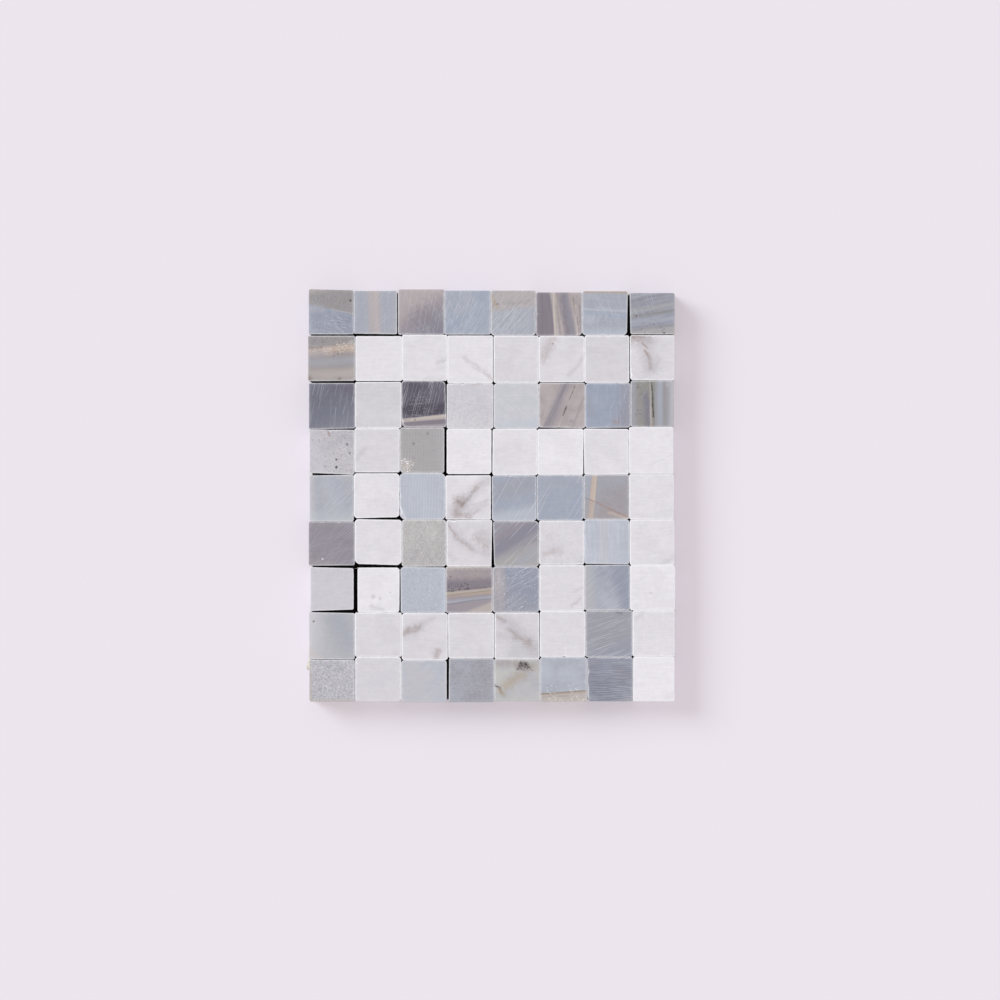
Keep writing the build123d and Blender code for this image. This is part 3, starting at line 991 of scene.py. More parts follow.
# %% Figures of rows 1 and 2
FIGURES = {
    (1, 1): (
        "sage", "sage", specks("umber", 34, 0.5, 0.3, 0.35, (0.5, 0.2), 0.6),
        haze("sand", (0.0, 0.05), (0.35, 0.02), 0.1, 0.6), past("steel", (0.5, 0.44), -11, 0.03),
        past("slate blue", (0.5, 0.5), -11, 0.1, strength=0.8),
        haze("slate light", (0.7, 0.7), (1.0, 0.68), 0.18, 0.35),
        haze("sky", (0.0, 0.55), (0.04, 0.98), 0.16, 0.45),
        haze("dove", (0.0, 0.42), (0.3, 0.45), 0.14, 0.6),
        vein("sand", (0.5, 0.44), (1.0, 0.54), 0.035, 0.02, 0.02, 0.1, 0.55),
        spot("ink", (0.93, 0.25), 0.045), scratches(-16, 40, 0.4, 0.4, (0.62, 0.92), 0.55, long=0.16),
        scratches(-38, 34, 0.25, 0.3, (0.5, 0.86), 0.45, long=0.16),
        scratches(-20, 12, 0.25, 0.35, (0.8, 0.8), 0.4, long=1.0),
        scratches(12, 34, 0.25, 0.25, (0.4, 0.85), 0.5, long=0.16), scratches(82, 34, 0.25, 0.15)),
    (1, 2): (
        "blue grey", "blue grey", past("dove", (0.9, 0.5), 86, 0.25, strength=0.6),
        band("rose grey", (0.48, 0.5), 92, 0.26, 0.12),
        band("sand", (0.42, 0.5), 91, 0.07, 0.07, 0.03, 0.3, 0.45),
        band("cream", (0.53, 0.5), 92, 0.07, 0.06, 0.03, 0.4, 0.3),
        band("tan", (0.57, 0.5), 92, 0.012, 0.015, 0.03, 0.4, 0.4),
        band("tan", (0.38, 0.5), 90, 0.01, 0.015, 0.03, 0.4, 0.3), scratches(60, 26, 0.25, 0.2),
        scratches(89, 34, 0.25, 0.2), scratches(38, 24, 0.2, 0.2)),
    (1, 3): (
        "taupe", "heather", before("rose grey", (0.45, 0.4), 30, 0.3, 0.1, 0.15, 0.8),
        spot("plum", (0.62, 0.66), 0.4, 0.35, 0.25, 0.15, 0.7),
        past("mauve", (0.5, 0.6), 32, 0.3, strength=0.8), past("slate light", (0.72, 0.72), 40, 0.3),
        haze("plum", (0.4, 0.65), (0.9, 0.9), 0.3, 0.4), haze("sand", (0.3, 0.02), (0.9, 0.04), 0.08, 0.5),
        scratches(80, 30, 0.4, 0.22), scratches(24, 26, 0.3, 0.22, (0.55, 0.6), 0.5, long=0.35),
        scratches(-40, 26, 0.3, 0.22, (0.5, 0.6), 0.5, long=0.35), scratches(118, 24, 0.3, 0.2)),
    (1, 4): (
        "blue grey", "steel light", haze("steel", (0.1, 0.75), (0.4, 0.75), 0.3, 0.5),
        band("steel", (0.8, 0.5), 92, 0.3, 0.1, strength=0.4),
        scratches(74, 32, 0.55, 0.36, (0.2, 0.35), 0.8), scratches(118, 26, 0.4, 0.26, (0.3, 0.3), 0.7),
        scratches(54, 40, 0.75, 0.28, (0.65, 0.75), 0.8, long=0.4), scratches(46, 26, 0.4, 0.18)),
    (1, 5): (
        "pebble", "rose grey", haze("sage", (0.05, 0.3), (0.15, 0.5), 0.2, 0.5),
        past("blue grey", (0.5, 0.42), 7, 0.08, 0.1), haze("sage", (0.3, 0.3), (0.9, 0.24), 0.05, 0.5),
        haze("sand", (0.2, 0.08), (0.9, 0.1), 0.1, 0.5),
        vein("ochre", (0.02, 0.12), (0.13, 0.36), 0.05, 0.03, 0.05, 0.2),
        spot("umber", (0.15, 0.31), 0.03, 0.02, 0.1),
        scratches(50, 38, 0.85, 0.5, (0.25, 0.7), 0.75, long=0.35), scratches(44, 26, 0.4, 0.25),
        scratches(82, 24, 0.3, 0.18)),
    (1, 6): (
        "taupe", "rose grey", before("plum", (0.365, 0.5), 97, 0.03, 0.04, 0.1),
        band("sand", (0.42, 0.5), 93, 0.07, 0.02), band("cream", (0.39, 0.5), 92, 0.03, 0.015),
        band("tan", (0.49, 0.5), 95, 0.025, 0.01, 0.03, 0.2),
        vein("mauve", (0.45, 0.32), (0.53, 0.98), 0.035, 0.02),
        band("mauve", (0.66, 0.5), 101, 0.25, 0.03, 0.05, 0.3),
        band("taupe", (0.58, 0.5), 99, 0.07, 0.05, 0.05, 0.3, 0.6),
        haze("plum", (0.57, 0.1), (0.7, 1.0), 0.11, 0.85),
        band("slate light", (0.69, 0.45), 101, 0.1, 0.04, 0.05, 0.4, 0.6),
        vein("plum", (0.86, 0.4), (0.95, 0.98), 0.03),
        vein("umber", (0.8, 0.1), (0.92, 0.75), 0.014, 0.01, 0.05, 0.5),
        vein("cream", (0.86, 0.3), (0.9, 0.98), 0.03),
        vein("plum", (0.95, 0.3), (0.98, 0.98), 0.03, 0.015, 0.05, 0.3), scratches(88, 26, 0.2, 0.1)),
    (1, 7): (
        "blue grey", "blue grey", band("steel light", (0.5, 0.54), -3, 0.1, 0.06),
        before("tan", (0.5, 0.045), -1, 0.012, 0.01),
        band("ice", (0.5, 0.43), -3, 0.035, 0.03, 0.03, 0.3, 0.8),
        haze("pale grey", (0.0, 0.15), (0.3, 0.12), 0.1, 0.3),
        haze("ice", (0.0, 0.62), (0.2, 0.65), 0.2, 0.5), past("ice", (0.5, 0.88), 0, 0.12, strength=0.6),
        scratches(112, 24, 0.4, 0.35, (0.6, 0.35), 0.5, long=0.4),
        scratches(60, 24, 0.3, 0.28, (0.35, 0.35), 0.4, long=0.35),
        scratches(-6, 24, 0.4, 0.35, (0.6, 0.4), 0.4), scratches(88, 28, 0.3, 0.2, (0.5, 0.8), 0.5),
        specks("ice", 34, 0.5, 0.4, 0.3, (0.5, 0.85), 0.5)),
    (1, 8): (
        "slate blue", "pewter", band("slate light", (0.4, 0.14), 14, 0.1, 0.05, 0.04, 0.5),
        saw(12, 9, 0.35, "sky", "slate light", 0.25),
        band("slate light", (0.6, 0.24), 12, 0.04, 0.03, 0.04, 0.5, 0.7),
        band("pebble", (0.5, 0.36), 10, 0.08, 0.05, strength=0.7),
        band("moss", (0.5, 0.5), 9, 0.08, 0.04, 0.03, 0.4, 0.7),
        vein("plum", (0.14, 0.56), (1.0, 0.4), 0.016, 0.012, 0.03, 0.4), spot("coal", (0.16, 0.55), 0.045),
        band("blue grey", (0.5, 0.66), 6, 0.1, 0.05), past("pebble", (0.5, 0.86), 8, 0.06),
        vein("moss", (0.0, 0.9), (1.0, 0.76), 0.05, 0.03, 0.04, strength=0.6),
        specks("coal", 30, 0.4, 0.35, 0.7, (0.5, 0.9), 0.4), spot("ink", (0.77, 0.97), 0.05, 0.02, 0.1),
        scratches(112, 22, 0.4, 0.4, (0.25, 0.25), 0.5, long=0.35)),
    (2, 1): (
        "taupe", "sage", before("sage", (0.5, 0.2), 3, 0.05),
        specks("umber", 30, 0.55, 0.35, 0.55, (0.45, 0.1), 0.5),
        band("peach", (0.6, 0.31), 7, 0.15, 0.05, 0.08, 0.4),
        specks("rust", 36, 0.5, 0.4, 0.45, (0.75, 0.28), 0.35),
        specks("snow", 40, 0.7, 0.5, 0.3, (0.14, 0.31), 0.13),
        specks("snow", 42, 0.7, 0.5, 0.55, (0.4, 0.31), 0.13),
        specks("cream white", 42, 0.7, 0.5, 0.6, (0.7, 0.25), 0.16),
        specks("cream white", 42, 0.7, 0.5, 0.5, (0.95, 0.22), 0.14),
        vein("umber", (0.45, 0.36), (1.0, 0.3), 0.015, 0.02, 0.1, 0.7, 0.3),
        vein("umber", (0.0, 0.27), (0.3, 0.26), 0.03, 0.03, 0.1, 0.6, 0.5),
        haze("pewter", (0.0, 0.42), (0.3, 0.4), 0.12, 0.7),
        band("blue grey", (0.5, 0.57), 3, 0.16, 0.08, strength=0.6),
        past("sand", (0.5, 0.74), 4, 0.08, 0.06, 0.4, 0.8),
        haze("sage", (0.0, 0.96), (0.9, 0.95), 0.06, 0.4), spot("umber", (0.02, 0.93), 0.1, 0.05, 0.1, 0.3),
        spot("umber", (0.67, 0.95), 0.07, 0.04, 0.1, 0.3), vein("tan", (0.01, 0.6), (0.0, 0.98), 0.03)),
    (2, 2): ("white", "white", haze("soft white", (0.0, 0.2), (0.4, 0.0), 0.3, 0.5)),
    (2, 3): (
        "soft white", "white", haze("smoke", (0.78, 0.6), (0.98, 0.53), 0.07, 0.6),
        haze("mist", (0.3, 1.0), (0.9, 0.97), 0.08, 0.5)),
    (2, 4): (
        "white", "white", haze("vein", (0.35, 0.45), (0.98, 0.9), 0.07, 0.45),
        vein("vein", (0.55, 0.66), (0.98, 0.92), 0.02, 0.03, 0.06, 0.5, 0.5)),
    (2, 5): ("cloud", "soft white", haze("mist", (0.0, 0.8), (0.5, 0.98), 0.1, 0.3)),
    (2, 6): (
        "cloud", "soft white", haze("vein", (0.07, 0.45), (0.3, 0.06), 0.2, 0.7),
        spot("rust", (0.3, 0.16), 0.03, 0.02), vein("vein", (0.08, 0.55), (0.28, 0.2), 0.02, 0.03),
        haze("smoke", (0.65, 0.85), (0.98, 0.45), 0.07, 0.5)),
    (2, 7): ("cloud", "cloud", haze("pale grey", (0.0, 0.3), (0.6, 0.4), 0.12, 0.3)),
    (2, 8): (
        "soft white", "cloud", haze("brown vein", (0.04, 0.06), (0.34, 0.06), 0.24, 1.0),
        haze("smoke", (0.3, 0.1), (0.5, 0.16), 0.2, 0.7),
        vein("umber", (0.06, 0.03), (0.3, 0.04), 0.03, 0.03, 0.1, 0.6, 0.6),
        haze("smoke", (0.34, 0.25), (0.46, 0.74), 0.26, 0.75),
        vein("rust", (0.27, 0.17), (0.39, 0.28), 0.025, 0.02, 0.05, 0.2, 0.9),
        vein("rust", (0.31, 0.33), (0.39, 0.42), 0.02, 0.02, 0.08, 0.3, 0.7),
        vein("brown vein", (0.34, 0.36), (0.43, 0.48), 0.05, 0.04, 0.15, 0.5, 0.8),
        vein("brown vein", (0.42, 0.48), (0.47, 0.74), 0.08, 0.06, 0.2, 0.6, 0.7),
        haze("smoke", (0.52, 0.75), (0.62, 0.55), 0.1, 0.6),
        specks("pewter", 26, 0.4, 0.2, 0.4, (0.4, 0.8), 0.4)),
}

# %% Figures of rows 3 and 4
FIGURES |= {
    (3, 1): (
        "slate", "slate", past("slate light", (0.6, 0.8), 20, 0.25, strength=0.7),
        haze("charcoal", (0.1, 0.3), (0.9, 0.25), 0.3, 0.5),
        haze("charcoal", (0.5, 0.07), (1.0, 0.1), 0.24, 0.9), specks("slate light", 30, 0.5, 0.3, 0.3),
        scratches(77, 18, 0.3, 0.3), scratches(63, 16, 0.25, 0.25, (0.4, 0.5), 0.5),
        scratches(88, 30, 0.2, 0.15)),
    (3, 2): ("cloud", "mist", haze("soft white", (0.2, 0.8), (0.9, 0.7), 0.2, 0.5)),
    (3, 3): (
        "charcoal", "coal", band("soot", (0.5, 0.61), 2, 0.22, 0.06, 0.05, 0.4, 0.7),
        specks("ink", 26, 0.6, 0.5, 0.5, (0.4, 0.62), 0.45),
        saw(3, 15, 0.18, "slate light", "soot", 0.1, (0.5, 0.6), 0.4),
        scratches(76, 34, 0.5, 0.36, (0.55, 0.35), 0.9), scratches(70, 24, 0.3, 0.3),
        scratches(3, 34, 0.4, 0.26, (0.4, 0.62), 0.4, long=0.2),
        specks("slate light", 36, 0.5, 0.35, 0.4, (0.3, 0.55), 0.5),
        past("heather", (0.5, 0.765), 6, 0.012, 0.02), band("sand", (0.5, 0.82), 6, 0.09, 0.02, 0.03, 0.3),
        vein("cream", (0.2, 0.84), (1.0, 0.75), 0.04, 0.02, 0.03, 0.2, 0.7),
        band("plum", (0.5, 0.91), 4, 0.09, 0.02, 0.04, 0.4), spot("umber", (0.3, 0.84), 0.035),
        past("heather", (0.5, 0.97), 3, 0.02)),
    (3, 4): (
        "cloud", "mist", specks("rose grey", 18, 0.6, 0.5, 0.3, (0.5, 0.7), 0.6),
        worms("aqua", 22, 0.8, 0.5, 0.08), haze("soft white", (0.2, 0.9), (0.55, 0.85), 0.3, 0.5),
        specks("pale grey", 24, 0.5, 0.5, 0.6), vein("rust", (0.55, 0.03), (0.75, 0.02), 0.015)),
    (3, 5): (
        "aqua", "mist", haze("ice", (0.0, 0.9), (0.9, 0.9), 0.3, 0.6),
        scratches(-38, 20, 0.55, 0.5, colour="snow"), scratches(-8, 22, 0.4, 0.3, (0.3, 0.3), 0.5, "snow")),
    (3, 6): (
        "taupe", "rose grey", band("mauve", (0.4, 0.5), 68, 0.2, 0.08, 0.05, 0.5, 0.9),
        band("plum", (0.45, 0.35), 67, 0.035, 0.02, 0.03, 0.4, 0.7),
        band("plum", (0.22, 0.75), 64, 0.05, 0.03, 0.03, 0.4, 0.6),
        band("slate light", (0.36, 0.42), 66, 0.015, 0.015, 0.03, 0.4, 0.6),
        band("cream", (0.52, 0.75), 66, 0.02, 0.015, 0.03, 0.3, 0.7),
        band("taupe", (0.6, 0.6), 70, 0.2, 0.15, strength=0.5),
        band("heather", (0.87, 0.6), 70, 0.03, 0.03),
        vein("ink", (0.78, 0.08), (0.66, 0.38), 0.018, 0.015, 0.03, 0.75),
        vein("ink", (0.6, 0.52), (0.52, 0.72), 0.035, 0.018, 0.03, 0.5),
        haze("taupe", (0.6, 0.85), (0.78, 0.97), 0.14, 0.7), spot("mauve", (0.7, 0.85), 0.06, 0.04),
        scratches(70, 26, 0.2, 0.15)),
    (3, 7): (
        "steel light", "steel", haze("pewter", (0.05, 0.3), (0.12, 0.65), 0.14, 0.5),
        past("mauve", (0.72, 0.6), 80, 0.2, strength=0.6),
        haze("rust", (0.62, 0.86), (0.74, 0.84), 0.08, 0.5), scratches(89, 34, 0.35, 0.2),
        scratches(70, 22, 0.3, 0.2, (0.8, 0.3), 0.5), specks("glint", 36, 0.4, 0.3, 0.3, (0.97, 0.6), 0.5)),
    (3, 8): (
        "sage", "moss", before("pewter", (0.12, 0.5), 90, 0.04),
        specks("coal", 24, 0.5, 0.3, 0.45, (0.25, 0.4), 0.5),
        band("moss", (0.36, 0.55), 91, 0.22, 0.1, 0.05, 0.3, 1.0),
        haze("slate light", (0.36, 0.3), (0.4, 0.95), 0.13, 0.9),
        haze("charcoal", (0.36, 0.35), (0.4, 0.95), 0.12, 0.4),
        band("sand", (0.46, 0.5), 91, 0.025, 0.02, 0.02, 0.2),
        band("moss", (0.53, 0.5), 91, 0.07, 0.015, 0.02, 0.2),
        vein("ink", (0.475, 0.04), (0.51, 0.32), 0.032, 0.012, 0.05, 0.55, 1.0),
        vein("ink", (0.51, 0.36), (0.525, 0.78), 0.034, 0.012, 0.05, 0.5, 1.0),
        vein("sand", (0.46, 0.55), (0.49, 1.0), 0.03), past("pewter", (0.57, 0.5), 90, 0.02),
        band("blue grey", (0.68, 0.5), 90, 0.1, 0.03), band("sage", (0.79, 0.5), 90, 0.05, 0.02),
        past("dove", (0.9, 0.5), 90, 0.05), haze("dove", (0.84, 0.06), (1.0, 0.12), 0.08, 0.8),
        spot("rust", (0.5, 0.95), 0.04, 0.02), scratches(60, 24, 0.3, 0.2, (0.1, 0.2), 0.4)),
    (4, 1): (
        "dove", "pale grey", specks("rose grey", 24, 0.6, 0.6, 0.6),
        specks("umber", 34, 0.4, 0.14, 0.6, (0.5, 0.5), 0.8), worms("snow", 26, 0.8, 0.35, 0.07),
        specks("heather", 34, 0.5, 0.3, 0.5), spot("ink", (0.6, 0.67), 0.05),
        spot("ink", (0.6, 0.84), 0.055), spot("coal", (0.06, 0.23), 0.045),
        spot("coal", (0.84, 0.33), 0.045), spot("coal", (0.35, 0.82), 0.04),
        spot("coal", (0.9, 0.53), 0.035), vein("rust", (0.4, 0.0), (0.46, 0.14), 0.03),
        haze("lilac", (0.0, 0.2), (0.2, 1.0), 0.4, 0.8)),
    (4, 2): ("soft white", "cloud", haze("smoke", (0.03, 0.66), (0.24, 0.46), 0.1, 0.55)),
    (4, 3): (
        "pebble", "pebble", haze("dove", (0.9, 0.1), (0.95, 0.9), 0.2, 0.4),
        saw(89, 16, 0.24, "sand", "moss", 0.02), spot("cream", (0.14, 0.85), 0.2, 0.1, 0.3, 0.3, 0.7),
        specks("snow", 30, 0.6, 0.45, 0.9, (0.14, 0.85), 0.22),
        specks("umber", 34, 0.4, 0.35, 0.6, (0.14, 0.85), 0.22), spot("plum", (0.3, 0.36), 0.05, 0.03),
        spot("plum", (0.62, 0.13), 0.04, 0.03), spot("heather", (0.3, 0.67), 0.04, 0.03),
        spot("heather", (0.75, 0.5), 0.03, 0.03)),
    (4, 4): ("white", "snow", spot("smoke", (0.45, 0.75), 0.03, 0.03, strength=0.4)),
    (4, 5): ("soft white", "white"),
    (4, 6): ("snow", "white"),
    (4, 7): ("soft white", "white", haze("cloud", (0.2, 0.3), (0.9, 0.7), 0.2, 0.3)),
    (4, 8): ("white", "snow", vein("smoke", (0.5, 0.8), (0.95, 0.6), 0.015, 0.03, 0.1, 0.5, 0.4)),
}

# %% Figures of rows 5 and 6
FIGURES |= {
    (5, 1): (
        "dove", "blue grey", before("pale grey", (0.1, 0.5), 92, 0.12),
        past("aqua", (0.5, 0.8), 0, 0.15, strength=0.5), haze("sky", (0.4, 0.1), (0.6, 0.6), 0.4, 0.5),
        scratches(48, 24, 0.3, 0.2), scratches(70, 24, 0.2, 0.15), scratches(40, 16, 0.2, 0.25, long=0.9)),
    (5, 2): ("white", "soft white"),
    (5, 3): (
        "sky", "sky", haze("ice", (0.4, 0.2), (0.6, 0.9), 0.4, 0.5),
        saw(88, 16, 0.16, "snow", "blue grey", 0.06), scratches(88, 34, 0.3, 0.2),
        haze("snow", (0.0, 0.75), (0.12, 1.0), 0.05, 0.5)),
    (5, 4): (
        "white", "soft white", haze("smoke", (0.16, 0.86), (0.44, 0.58), 0.3, 0.8),
        haze("smoke", (0.5, 0.5), (0.95, 0.1), 0.2, 0.7),
        haze("brown vein", (0.2, 0.92), (0.36, 0.58), 0.16, 0.5),
        haze("brown vein", (0.28, 0.88), (0.48, 0.9), 0.16, 0.7),
        vein("brown vein", (0.24, 0.56), (0.4, 0.66), 0.14, 0.1, 0.3, 0.7, 0.8),
        vein("umber", (0.28, 0.58), (0.36, 0.66), 0.05, 0.06, 0.25, 0.8, 0.5),
        vein("umber", (0.34, 0.7), (0.56, 0.46), 0.025, 0.03, 0.12, 0.7, 0.6),
        vein("brown vein", (0.4, 0.62), (0.66, 0.3), 0.04, 0.06, 0.2, 0.6, 0.7),
        vein("umber", (0.58, 0.34), (0.68, 0.28), 0.03, 0.05, 0.25, 0.7, 0.4),
        vein("brown vein", (0.6, 0.3), (0.8, 0.16), 0.07, 0.08, 0.2, 0.7, 0.5),
        haze("smoke", (0.5, 0.85), (0.9, 0.62), 0.14, 0.6),
        vein("smoke", (0.5, 0.7), (0.95, 0.55), 0.02, 0.03),
        haze("brown vein", (0.62, 0.86), (0.72, 0.78), 0.06, 0.4)),
    (5, 5): (
        "steel light", "blue grey", band("pewter", (0.5, 0.25), 14, 0.4, 0.15, strength=0.6),
        past("sky", (0.5, 0.75), 10, 0.12), band("steel light", (0.6, 0.6), 4, 0.04, 0.04, 0.04, 0.4, 0.6),
        scratches(58, 11, 0.5, 0.5, long=1.1), scratches(53, 22, 0.3, 0.22), scratches(118, 24, 0.2, 0.15)),
    (5, 6): (
        "blue grey", "steel light", scratches(61, 10, 0.45, 0.36, long=1.1), scratches(56, 22, 0.25, 0.18),
        scratches(88, 30, 0.2, 0.12)),
    (5, 7): (
        "pewter", "heather", before("blue grey", (0.14, 0.5), 86, 0.03),
        past("pebble", (0.3, 0.1), 60, 0.3, strength=0.3),
        band("peach", (0.2, 0.5), 85, 0.12, 0.015, 0.02, 0.2),
        band("cream", (0.24, 0.3), 85, 0.02, 0.015, 0.02, 0.2),
        haze("blue grey", (0.5, 0.1), (1.0, 0.15), 0.3, 0.6),
        past("taupe", (0.3, 0.62), -20, 0.04, strength=0.4),
        band("blue grey", (0.32, 0.5), 85, 0.06, 0.06, strength=0.5),
        vein("umber", (0.0, 0.5), (0.22, 0.6), 0.012, 0.01, 0.03, 0.3),
        vein("rust", (0.2, 0.6), (0.62, 0.66), 0.015, 0.01, 0.04, 0.3),
        vein("rust", (0.3, 0.64), (1.0, 0.97), 0.03, 0.02, 0.03, 0.2),
        vein("peach", (0.55, 0.85), (1.0, 1.0), 0.05, 0.03, 0.03, 0.3, 0.8),
        specks("umber", 34, 0.4, 0.15, 0.3)),
    (5, 8): ("white", "soft white", haze("cloud", (0.1, 0.9), (0.6, 0.95), 0.1, 0.5)),
    (6, 1): (
        "mauve", "mauve", haze("plum", (0.6, 0.2), (0.95, 0.6), 0.25, 0.3), scratches(38, 20, 0.35, 0.24),
        scratches(56, 22, 0.25, 0.15), scratches(20, 18, 0.25, 0.15), spot("snow", (0.3, 0.84), 0.035),
        haze("taupe", (0.05, 0.9), (0.5, 0.98), 0.1, 0.5)),
    (6, 2): ("soft white", "white", haze("cloud", (0.6, 0.9), (0.9, 0.6), 0.2, 0.4)),
    (6, 3): (
        "celadon", "pebble", worms("pebble", 20, 0.9, 0.7, 0.09), worms("mist", 22, 0.9, 0.7, 0.08),
        specks("sand", 24, 0.6, 0.5, 0.5), scratches(60, 30, 0.3, 0.3, colour="snow"),
        scratches(120, 30, 0.2, 0.2, colour="snow")),
    (6, 4): (
        "cloud", "soft white", haze("smoke", (0.02, 0.05), (0.5, 0.6), 0.2, 0.6),
        vein("brown vein", (0.03, 0.1), (0.2, 0.32), 0.03, 0.03, 0.1, 0.5, 0.9),
        vein("brown vein", (0.2, 0.34), (0.55, 0.62), 0.06, 0.07, 0.25, 0.6, 0.8),
        vein("brown vein", (0.66, 0.38), (0.88, 0.56), 0.14, 0.12, 0.3, 0.6, 0.7),
        haze("smoke", (0.6, 0.66), (0.98, 0.74), 0.16, 0.6),
        haze("smoke", (0.8, 0.3), (0.98, 0.45), 0.24, 0.7),
        haze("smoke", (0.03, 0.75), (0.2, 0.85), 0.1, 0.4)),
    (6, 5): (
        "mauve", "mauve", before("pewter", (0.2, 0.2), 34, 0.1, strength=0.6),
        band("slate light", (0.6, 0.3), 34, 0.26, 0.12, 0.1, 0.3),
        band("pewter", (0.55, 0.56), 34, 0.1, 0.08, strength=0.8),
        past("pebble", (0.5, 0.66), 24, 0.12, 0.1), haze("blue grey", (0.6, 0.9), (0.95, 0.65), 0.2, 0.7),
        scratches(47, 10, 0.45, 0.45, long=1.1), scratches(40, 22, 0.3, 0.22)),
    (6, 6): (
        "cloud", "soft white", haze("vein", (0.12, 0.76), (0.3, 0.7), 0.1, 0.6),
        haze("vein", (0.32, 0.66), (0.44, 0.72), 0.14, 0.5), worms("mist", 18, 0.7, 0.4, 0.08),
        haze("smoke", (0.9, 0.97), (1.0, 0.85), 0.1, 0.6),
        specks("smoke", 24, 0.5, 0.25, 0.4, (0.4, 0.7), 0.6)),
    (6, 7): (
        "sky", "ice", band("pale grey", (0.42, 0.5), 90, 0.2, 0.12, 0.03, 0.3, 0.8),
        past("blue grey", (0.9, 0.5), 90, 0.2, strength=0.4), scratches(90, 34, 0.4, 0.3),
        scratches(80, 24, 0.2, 0.2)),
    (6, 8): (
        "soft white", "white", haze("smoke", (0.75, 0.98), (0.95, 0.85), 0.08, 0.5),
        worms("cloud", 10, 0.5, 0.3)),
}

